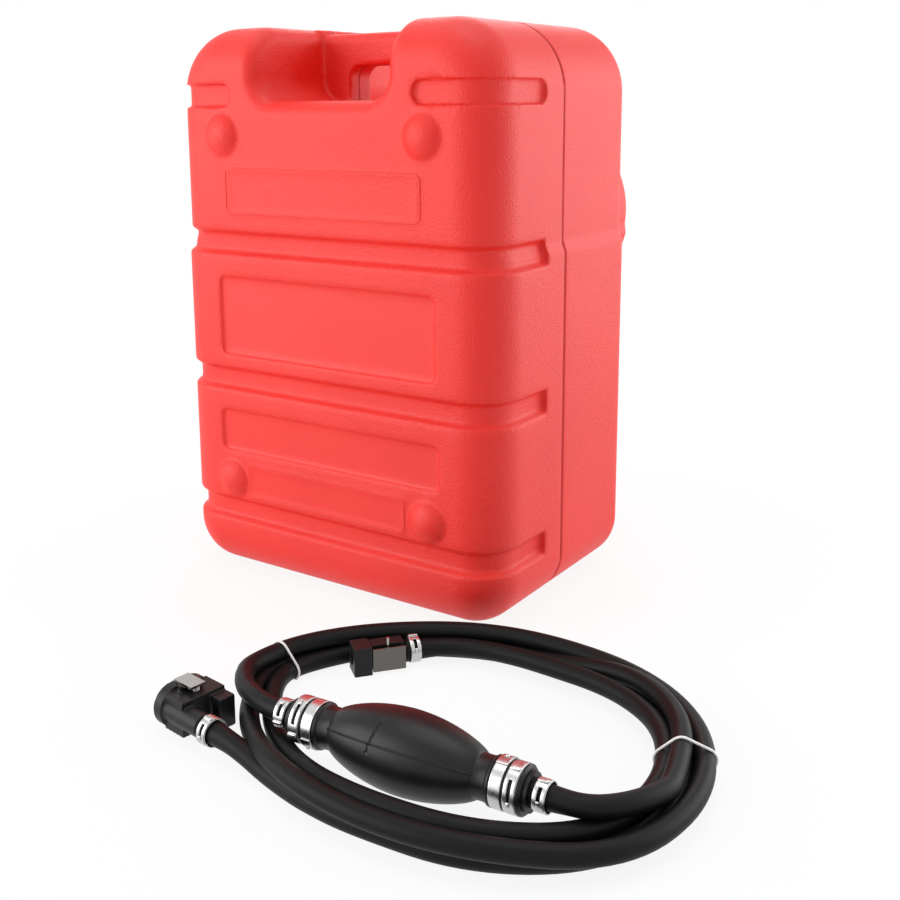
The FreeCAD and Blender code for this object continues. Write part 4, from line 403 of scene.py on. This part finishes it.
# Shares: of a strip's width, of the ring's radius, and of the tail's length.
WINDOW_HALF_WIDTH = 0.2
RING_WINDOW = (-0.78, 0.27)
TAIL_WINDOW = (-0.34, 0.12)
HOOK_PLACE = -0.27
EAR_PLACE = 0.3

# Radians: how far the tail runs round, and where an edge counts as a rim.
TAIL_TURN = 2.3
RIM_ANGLE = 1.2

CLAMP_RADIUS = 0.0064
CLAMP_WIDTH = 0.0058
BAND_RADIUS = 0.0105
BAND_WIDTH = 0.0055
BAND_LOCKS = {0.0139: 0.0, 0.0208: 1.9}


def bright_metal(name, colour, roughness, stretch):
    """Rolled metal: fine lines along one axis make its sheen uneven."""
    material, tree, shader = blank_material(name)
    shader.inputs["Metallic"].default_value = 1.0
    shader.inputs["Base Color"].default_value = (*colour, 1)
    place = tree.nodes.new("ShaderNodeTexCoord").outputs["Object"]
    spread = tree.nodes.new("ShaderNodeMapping")
    spread.inputs["Scale"].default_value = stretch
    tree.links.new(place, spread.inputs["Vector"])
    lines = noise(tree, spread.outputs["Vector"], 1, 4)
    uneven_sheen(tree, shader, lines, roughness - 0.08, roughness + 0.14)
    tree.links.new(relief(tree, lines, 0.25, 0.00003), shader.inputs["Normal"])
    return material


steel = bright_metal("stainless_steel", (0.56, 0.555, 0.55), roughness=0.26,
                     stretch=(2500, 300, 300))


def wrap(form, radius, middle):
    """Bend a flat strip, long in X and wide in Y, round the local Z axis."""
    for corner in form.verts:
        turn = corner.co.x / radius
        out = radius + corner.co.z
        corner.co = (out * math.cos(turn), out * math.sin(turn), middle + corner.co.y)


def strip(length, width, thick, columns, rows, window=()):
    """A flat strip with a rounded edge and, if asked, one long window."""
    form = bmesh.new()
    bmesh.ops.create_grid(form, x_segments=columns, y_segments=rows, size=0.5)
    bmesh.ops.scale(form, vec=(length, width, 1), verts=form.verts)
    if window:
        start, end, side = window
        open_faces = [f for f in form.faces if start < f.calc_center_median().x < end
                      and abs(f.calc_center_median().y) < side]
        bmesh.ops.delete(form, geom=open_faces, context="FACES")
    bmesh.ops.recalc_face_normals(form, faces=form.faces)
    skin = list(form.faces)
    solid = bmesh.ops.extrude_face_region(form, geom=skin)
    raised = [v for v in solid["geom"] if isinstance(v, bmesh.types.BMVert)]
    bmesh.ops.translate(form, vec=(0, 0, thick), verts=raised)
    bmesh.ops.recalc_face_normals(form, faces=form.faces)
    rims = [e for e in form.edges if e.calc_face_angle(0) > RIM_ANGLE]
    bmesh.ops.bevel(form, geom=rims, offset=thick * 0.3, segments=2, profile=0.5,
                    affect="EDGES", material=-1)
    return form


def join(forms):
    """Put several forms in one."""
    whole = bmesh.new()
    for form in forms:
        part = bpy.data.meshes.new("part")
        form.to_mesh(part)
        form.free()
        whole.from_mesh(part)
        bpy.data.meshes.remove(part)
    return whole


def clamp(radius, low, width, lock):
    """One clamp about the local Z axis; its lock sits at the angle that is given."""
    middle = low + width / 2
    half_window = width * WINDOW_HALF_WIDTH
    inner = radius + CLAMP_GAP
    window = (inner * RING_WINDOW[0], inner * RING_WINDOW[1], half_window)
    ring = strip(math.tau * inner, width, CLAMP_THICKNESS, columns=96, rows=9, window=window)
    wrap(ring, inner, middle)
    bmesh.ops.remove_doubles(ring, verts=ring.verts, dist=1e-5)
    outer = inner + CLAMP_THICKNESS + CLAMP_GAP / 2
    length = outer * TAIL_TURN
    window = (length * TAIL_WINDOW[0], length * TAIL_WINDOW[1], half_window)
    tail = strip(length, width * 0.96, CLAMP_THICKNESS, columns=36, rows=9, window=window)
    wrap(tail, outer, middle)
    hook = strip(width * 0.34, width * 0.3, HOOK_HEIGHT, columns=4, rows=3)
    ear = strip(width * 0.3, width * 0.86, EAR_HEIGHT, columns=4, rows=3)
    for block, share, sunk in ((hook, HOOK_PLACE, HOOK_SUNK), (ear, EAR_PLACE, 0)):
        bmesh.ops.translate(block, vec=(length * share, 0, 0), verts=block.verts)
        wrap(block, outer - sunk, middle)
    whole = join([ring, tail, hook, ear])
    bmesh.ops.rotate(whole, cent=(0, 0, 0), matrix=Matrix.Rotation(lock, 3, "Z"),
                     verts=whole.verts)
    return whole


from_inlet = along_bulb @ Matrix.Translation((0, 0, BULB_LENGTH)) @ Matrix.Rotation(math.pi, 4, "X")
bands = []
for place, lock in ((along_bulb, -2.1), (from_inlet, 2.1)):
    for low, turn in BAND_LOCKS.items():
        band = clamp(BAND_RADIUS, low, BAND_WIDTH, lock + turn)
        bmesh.ops.transform(band, matrix=place, verts=band.verts)
        bands.append(band)
bulb_bands = placed(join(bands), "bands_on_bulb", Matrix(), steel, smooth=50)
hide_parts("bulb_bands")

CONNECTOR_PLACES = {
    "tank": Matrix.Translation((0.0924, -0.1303, 0)) @ Matrix.Rotation(math.radians(230.8), 4, "Z"),
    "engine": Matrix.Translation((0.038, -0.240, 0)) @ Matrix.Rotation(math.radians(172), 4, "Z"),
}
for name, place, low, lock in (
    ("clamp_bulb_outlet", along_bulb, 0.0021, -2.1),
    ("clamp_bulb_inlet", from_inlet, 0.0021, 2.3),
    ("clamp_tank_end", CONNECTOR_PLACES["tank"] @ Matrix.Translation((0, -0.0015, 0.008)) @ to_x,
     -0.0089, 2.6),
    ("clamp_engine_end", CONNECTOR_PLACES["engine"] @ Matrix.Translation((0, 0.009, 0.011)) @ to_x,
     -0.0349, 2.2),
):
    form = clamp(CLAMP_RADIUS, low, CLAMP_WIDTH, lock)
    placed(form, name, place, steel, smooth=50)
    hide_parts("hose_clamps")

# ------------------------------------------------------- quick connectors
# Black moulded plastic bodies with a metal latch on a pin. The one for the
# tank is a slim block; the one for the engine has a wide oval flange.
MERGE_DISTANCE = 2e-6
SMOOTHING_PASSES = 2
black_plastic = dull_material("black_plastic", (0.008, 0.008, 0.0085), roughness=0.42, grain=1600,
                              depth=0.00005, specular=0.25)


def merged_copy(node, distance=MERGE_DISTANCE):
    """A CAD node's mesh once more, with its loose triangles joined."""
    form = bmesh.new()
    form.from_mesh(nodes[node].data)
    bmesh.ops.remove_doubles(form, verts=form.verts, dist=distance)
    return form


def softened(form, name, node, voxel, material, body="tank", kept=1.0):
    """Soften a form's edges the way a mould does, and let it stand for its node."""
    mesh = bpy.data.meshes.new(name)
    form.to_mesh(mesh)
    form.free()
    piece = bpy.data.objects.new(name, mesh)
    bpy.context.scene.collection.objects.link(piece)
    grid = piece.modifiers.new("grid", "REMESH")
    grid.mode = "VOXEL"
    grid.voxel_size = voxel
    if kept < 1:
        fewer = piece.modifiers.new("fewer", "DECIMATE")
        fewer.ratio = kept
    bpy.context.view_layer.update()
    evaluated = piece.evaluated_get(bpy.context.evaluated_depsgraph_get())
    made = bpy.data.meshes.new_from_object(evaluated)
    piece.modifiers.clear()
    form = bmesh.new()
    form.from_mesh(made)
    for _ in range(SMOOTHING_PASSES):
        bmesh.ops.smooth_vert(form, verts=form.verts, factor=0.5, use_axis_x=True,
                              use_axis_y=True, use_axis_z=True)
    form.to_mesh(made)
    form.free()
    made.materials.clear()
    made.materials.append(material)
    piece.data = made
    made.name = name
    made.shade_smooth()
    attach(piece, body)
    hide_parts(node)
    return piece


engine_body = softened(merged_copy("engine_connector"), "engine_connector_body",
                       "engine_connector", voxel=0.0004, material=black_plastic)
tank_body = softened(merged_copy("tank_connector"), "tank_connector_body",
                     "tank_connector", voxel=0.0003, material=black_plastic)
latch_metal = bright_metal("latch_metal", (0.135, 0.128, 0.118), roughness=0.30,
                           stretch=(400, 400, 3000))
tank_lever = softened(merged_copy("tank_latch"), "tank_latch_lever", "tank_latch",
                      voxel=0.0002, material=latch_metal, body="tank_lever")


def coat(material, *names):
    """Give CAD nodes their material."""
    for name in names:
        slots = nodes[name].data.materials
        slots.clear()
        slots.append(material)


latch_steel = bright_metal("latch_steel", (0.44, 0.42, 0.40), roughness=0.12,
                           stretch=(400, 400, 3000))
coat(latch_steel, "engine_latch", "tank_latch_pin", "engine_latch_pin")
coat(black_plastic, "engine_plunger", "tank_plunger", "inlet_check", "outlet_check",
     "inlet_retainer", "outlet_retainer", "bulb_inlet", "bulb_outlet")
coat(bulb_rubber, "engine_seal", "tank_seal")


def middle_of(node):
    """The middle of a CAD node's box."""
    low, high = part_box(node)
    return (Vector(low) + Vector(high)) / 2


def pressed_spring(joint, node):
    """A steel copy of one CAD spring that stands in for it; its joint's push is worked out but not
    applied.
    """
    piece = placed(merged_copy(node), node + "_coil", Matrix(), steel, smooth=180)
    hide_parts(node)
    middle = middle_of(node)
    push = Vector(joint["axis"])
    if joint["type"] == "slide":
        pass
    else:
        push = push.cross(middle - Vector(joint["pos_m"]))
        push.normalize()
    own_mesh(piece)
    return piece


for joint in frame["joints"]:
    for pressed in joint.get("deforming_nodes", []):
        pressed_spring(joint, pressed["node"])

# ------------------------------------------------------------------- tank
# Blow-moulded red polyethylene in one piece with its handle. The skin has
# the mould's pebble grain; the sunk panels are smooth; a groove marks where
# the two halves of the mould met, and painted shade darkens it.
SEAM_Y = -0.0045
GROOVE_HALF_WIDTH = 0.0015
FRONT_SKIN = (-0.0836, -0.078)
SMOOTH_PANELS = (
    ((-0.0815, 0.0815), (0.1475, 0.197)),
    ((-0.084, 0.084), (0.084, 0.1105)),
    ((-0.0625, 0.060), (0.0545, 0.076)),
)


def red_polyethylene():
    """The tank's skin: slightly patchy red, pebbled, with the mould's groove, whose colour is
    darkened as painted shade.
    """
    material, tree, shader = blank_material("red_polyethylene")
    shader.inputs["Roughness"].default_value = 0.48
    shader.inputs["Specular IOR Level"].default_value = 0.5
    shader.inputs["Subsurface Weight"].default_value = 0.08
    shader.inputs["Subsurface Radius"].default_value = (0.004, 0.001, 0.0007)
    shader.inputs["Subsurface Scale"].default_value = 1.0
    place = tree.nodes.new("ShaderNodeTexCoord").outputs["Object"]
    parts = tree.nodes.new("ShaderNodeSeparateXYZ")
    tree.links.new(place, parts.inputs["Vector"])

    def number(operation, first, *others):
        """One maths node; each input is a node's output or a constant."""
        sum_up = tree.nodes.new("ShaderNodeMath")
        sum_up.operation = operation
        for slot, value in enumerate((first, *others)):
            if isinstance(value, (int, float)):
                sum_up.inputs[slot].default_value = value
            else:
                tree.links.new(value, sum_up.inputs[slot])
        return sum_up.outputs[0]

    def between(axis, low, high):
        """1 inside a range of one coordinate, else 0."""
        return number("COMPARE", parts.outputs[axis], (low + high) / 2, (high - low) / 2)

    tint = tree.nodes.new("ShaderNodeValToRGB")
    tint.color_ramp.elements[0].position = 0.3
    tint.color_ramp.elements[0].color = (0.75, 0.014, 0.008, 1)
    tint.color_ramp.elements[1].position = 0.7
    tint.color_ramp.elements[1].color = (0.81, 0.021, 0.012, 1)
    tree.links.new(noise(tree, place, 14, 5), tint.inputs["Fac"])

    # Painted shade: the red turns deep red along the mould's groove, where shade would fall; the
    # same mask also sinks the groove by bump.
    off_seam = number("ABSOLUTE", number("SUBTRACT", parts.outputs["Y"], SEAM_Y))
    groove_and_painted_shade = number("SUBTRACT", 1, number("DIVIDE", off_seam, GROOVE_HALF_WIDTH))
    groove_and_painted_shade = number("MAXIMUM", groove_and_painted_shade, 0)
    painted_groove_shade = tree.nodes.new("ShaderNodeMix")
    painted_groove_shade.data_type = "RGBA"
    # The deep red of the painted shade in the groove.
    painted_groove_shade.inputs[7].default_value = (0.46, 0.010, 0.007, 1)
    tree.links.new(number("MULTIPLY", groove_and_painted_shade, 0.8), painted_groove_shade.inputs[0])
    tree.links.new(tint.outputs["Color"], painted_groove_shade.inputs[6])
    tree.links.new(painted_groove_shade.outputs[2], shader.inputs["Base Color"])

    smooth = 0
    for across, up in SMOOTH_PANELS:
        panel = number("MULTIPLY", between("X", *across), between("Z", *up))
        smooth = number("MAXIMUM", panel, smooth)
    smooth = number("MULTIPLY", smooth, between("Y", *FRONT_SKIN))
    grained = number("SUBTRACT", 1, number("MULTIPLY", smooth, 0.85))
    pebbles = number("MULTIPLY", noise(tree, place, 950, 2), grained)
    skin = relief(tree, pebbles, 0.6, 0.0007)
    groove = relief(tree, number("MULTIPLY", groove_and_painted_shade, -1), 0.8, 0.0008, under=skin)
    tree.links.new(groove, shader.inputs["Normal"])
    return material


FILLER_OPENING = 0.0223
UNIT_OPENING = 0.0303
REAR_WALL = 0.075
SHOULDER_BASE = 0.217
SHOULDER_RISE = 0.006
SHOULDER_TAPER = 0.02
WALL_MERGE = 2e-5
TANK_VOXEL = 0.0010
TANK_KEPT = 0.22
FRAME_RADIUS = 0.0006
FRAME_Y = -0.0830
FRAME_CORNER = 0.004
CORNER_STEPS = 6
filler_axis = middle_of("filler_gasket")
unit_axis = middle_of("pickup_gasket")


def through_wall(face):
    """True for the walls of the two round openings in the rear face."""
    spot = face.calc_center_median()
    if spot.y < REAR_WALL:
        return False
    from_filler = math.hypot(spot.x - filler_axis.x, spot.z - filler_axis.z)
    from_unit = math.hypot(spot.x - unit_axis.x, spot.z - unit_axis.z)
    return from_filler < FILLER_OPENING or from_unit < UNIT_OPENING


def outer_skin(form):
    """Drop the tank's inner wall and close the two openings that are left."""
    walls = [face for face in form.faces if through_wall(face)]
    bmesh.ops.delete(form, geom=walls, context="FACES")
    outer = {max(form.verts, key=lambda v: v.co.z)}
    to_visit = list(outer)
    while to_visit:
        corner = to_visit.pop()
        for edge in corner.link_edges:
            other = edge.other_vert(corner)
            if other not in outer:
                outer.add(other)
                to_visit.append(other)
    inner = [corner for corner in form.verts if corner not in outer]
    bmesh.ops.delete(form, geom=inner, context="VERTS")
    bmesh.ops.holes_fill(form, edges=[e for e in form.edges if e.is_boundary], sides=0)
    bmesh.ops.triangulate(form, faces=[f for f in form.faces if len(f.verts) > 4])


def narrow_shoulder(form):
    """Make the tank a little narrower above a low step at its shoulder."""
    for share in (0, 0.5, 1):
        height = SHOULDER_BASE + SHOULDER_RISE * share
        bmesh.ops.bisect_plane(form, geom=form.verts[:] + form.edges[:] + form.faces[:], dist=1e-7,
                               plane_co=(0, 0, height), plane_no=(0, 0, 1))
    for corner in form.verts:
        share = min(1, max(0, (corner.co.z - SHOULDER_BASE) / SHOULDER_RISE))
        corner.co.x *= 1 - SHOULDER_TAPER * share


form = merged_copy("tank_shell", WALL_MERGE)
outer_skin(form)
narrow_shoulder(form)
red = red_polyethylene()
softened(form, "tank", "tank_shell", voxel=TANK_VOXEL, material=red,
         kept=TANK_KEPT)


def raised_line(name, left, right, low, high):
    """A thin bare frame with round corners that stands on the front face."""
    spots = []
    for x, z, start in ((right, high, 0), (left, high, 1), (left, low, 2), (right, low, 3)):
        inward = (-1 if x == right else 1, -1 if z == high else 1)
        for step in range(CORNER_STEPS + 1):
            turn = math.pi / 2 * (start + step / CORNER_STEPS)
            spots.append((x + FRAME_CORNER * (inward[0] + math.cos(turn)), FRAME_Y,
                          z + FRAME_CORNER * (inward[1] + math.sin(turn))))
    piece = closed_line(name, spots, FRAME_RADIUS, 3, red)
    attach(piece, "tank")


raised_line("title_frame", -0.073, 0.073, 0.2375, 0.265)
raised_line("plate_frame", -0.0625, 0.060, 0.0545, 0.076)

# ----------------------------------------------- filler cap, pickup, gauge
# On the rear face: a fluted black screw cap with a vent screw, and a round
# black plate with the fuel gauge and the outlet nipple.
coat(black_plastic, "filler_cap", "vent_screw", "pickup_flange", "gauge_bracket",
     "gauge_float", "pickup_tube")
coat(bulb_rubber, "filler_gasket", "vent_seal", "pickup_gasket")
coat(steel, "flange_screws", "float_pin", "float_arm")
coat(white_plastic, "gauge_dial", "pickup_strainer")
brass = bright_metal("brass", (0.72, 0.5, 0.2), roughness=0.28, stretch=(400, 2500, 400))
coat(brass, "outlet_nipple", "outlet_valve")
needle_red = dull_material("needle_red", (0.6, 0.05, 0.02), roughness=0.4, grain=1500,
                           depth=0.00003, specular=0.5)
coat(needle_red, "gauge_needle")
window, _, clear = blank_material("clear_window")
clear.inputs["Base Color"].default_value = (0.95, 0.98, 0.98, 1)
clear.inputs["Transmission Weight"].default_value = 1.0
clear.inputs["Roughness"].default_value = 0.06
coat(window, "gauge_lens")

# ---------------------------------------------------------- floor and light
# A pale floor that runs out to white, large soft lamps left, right and above.
# The floor and the sky look white to the eye and in reflections, but shed less
# light than that.
FLOOR_SIZE = 6
FLOOR_FADE = (0.4, 0.8)


def seen_rays(tree):
    """1 on every ray that the eye follows, straight or mirrored, else 0."""
    rays = tree.nodes.new("ShaderNodeLightPath")
    seen = rays.outputs["Is Camera Ray"]
    for name in ("Is Glossy Ray", "Is Transmission Ray"):
        step = tree.nodes.new("ShaderNodeMath")
        step.operation = "ADD"
        step.use_clamp = True
        tree.links.new(seen, step.inputs[0])
        tree.links.new(rays.outputs[name], step.inputs[1])
        seen = step.outputs[0]
    return seen


def stage_white():
    """A floor that fades from pale grey under the object to white further out."""
    material, tree, shader = blank_material("floor_white")
    shader.inputs["Base Color"].default_value = (0.9, 0.9, 0.9, 1)
    shader.inputs["Roughness"].default_value = 0.9
    shader.inputs["Specular IOR Level"].default_value = 0.1
    glow = tree.nodes.new("ShaderNodeEmission")
    glow.inputs["Color"].default_value = (1, 1, 1, 1)
    place = tree.nodes.new("ShaderNodeTexCoord")
    reach = tree.nodes.new("ShaderNodeVectorMath")
    reach.operation = "LENGTH"
    tree.links.new(place.outputs["Object"], reach.inputs[0])
    paler = tree.nodes.new("ShaderNodeMapRange")
    paler.inputs["From Min"].default_value = FLOOR_FADE[0]
    paler.inputs["From Max"].default_value = FLOOR_FADE[1]
    paler.inputs["To Min"].default_value = 0.88
    paler.inputs["To Max"].default_value = 1.0
    tree.links.new(reach.outputs["Value"], paler.inputs["Value"])
    share = tree.nodes.new("ShaderNodeMath")
    share.operation = "MULTIPLY"
    tree.links.new(seen_rays(tree), share.inputs[0])
    tree.links.new(paler.outputs["Result"], share.inputs[1])
    mix = tree.nodes.new("ShaderNodeMixShader")
    tree.links.new(share.outputs[0], mix.inputs["Fac"])
    tree.links.new(shader.outputs[0], mix.inputs[1])
    tree.links.new(glow.outputs[0], mix.inputs[2])
    tree.links.new(mix.outputs[0], tree.nodes["Material Output"].inputs["Surface"])
    return material


form = bmesh.new()
bmesh.ops.create_grid(form, x_segments=1, y_segments=1, size=FLOOR_SIZE)
floor_mesh = bpy.data.meshes.new("floor")
form.to_mesh(floor_mesh)
form.free()
floor_mesh.materials.append(stage_white())
floor = bpy.data.objects.new("floor", floor_mesh)
bpy.context.scene.collection.objects.link(floor)


def lamp(name, spot, aim, side, power):
    """A square lamp that shines from its spot at what it aims at."""
    light = bpy.data.lights.new(name, "AREA")
    light.size = side
    light.energy = power
    holder = bpy.data.objects.new(name, light)
    holder.location = spot
    holder.rotation_euler = (Vector(aim) - Vector(spot)).to_track_quat("-Z", "Y").to_euler()
    bpy.context.scene.collection.objects.link(holder)


lamp("lamp_front_left", (-0.80, -1.12, 0.45), (0, 0, 0.12), side=1.2, power=15)
lamp("lamp_rear_right", (0.95, 0.95, 0.30), (0.05, 0, 0.10), side=1.3, power=14)
lamp("lamp_above", (0.05, -0.05, 1.5), (0.05, -0.05, 0.1), side=1.0, power=6)
lamp("lamp_behind", (-0.8, 1.3, 0.95), (0, 0, 0.25), side=0.8, power=6)

world = bpy.data.worlds.new("white")
bpy.context.scene.world = world
world.use_nodes = True
sky = world.node_tree
backdrop = sky.nodes["Background"]
backdrop.inputs["Color"].default_value = (1, 1, 1, 1)
level_of_light = sky.nodes.new("ShaderNodeMapRange")
level_of_light.inputs["To Min"].default_value = 0.58
level_of_light.inputs["To Max"].default_value = 1.0
sky.links.new(seen_rays(sky), level_of_light.inputs["Value"])
sky.links.new(level_of_light.outputs["Result"], backdrop.inputs["Strength"])

bpy.context.scene.view_settings.view_transform = "Standard"
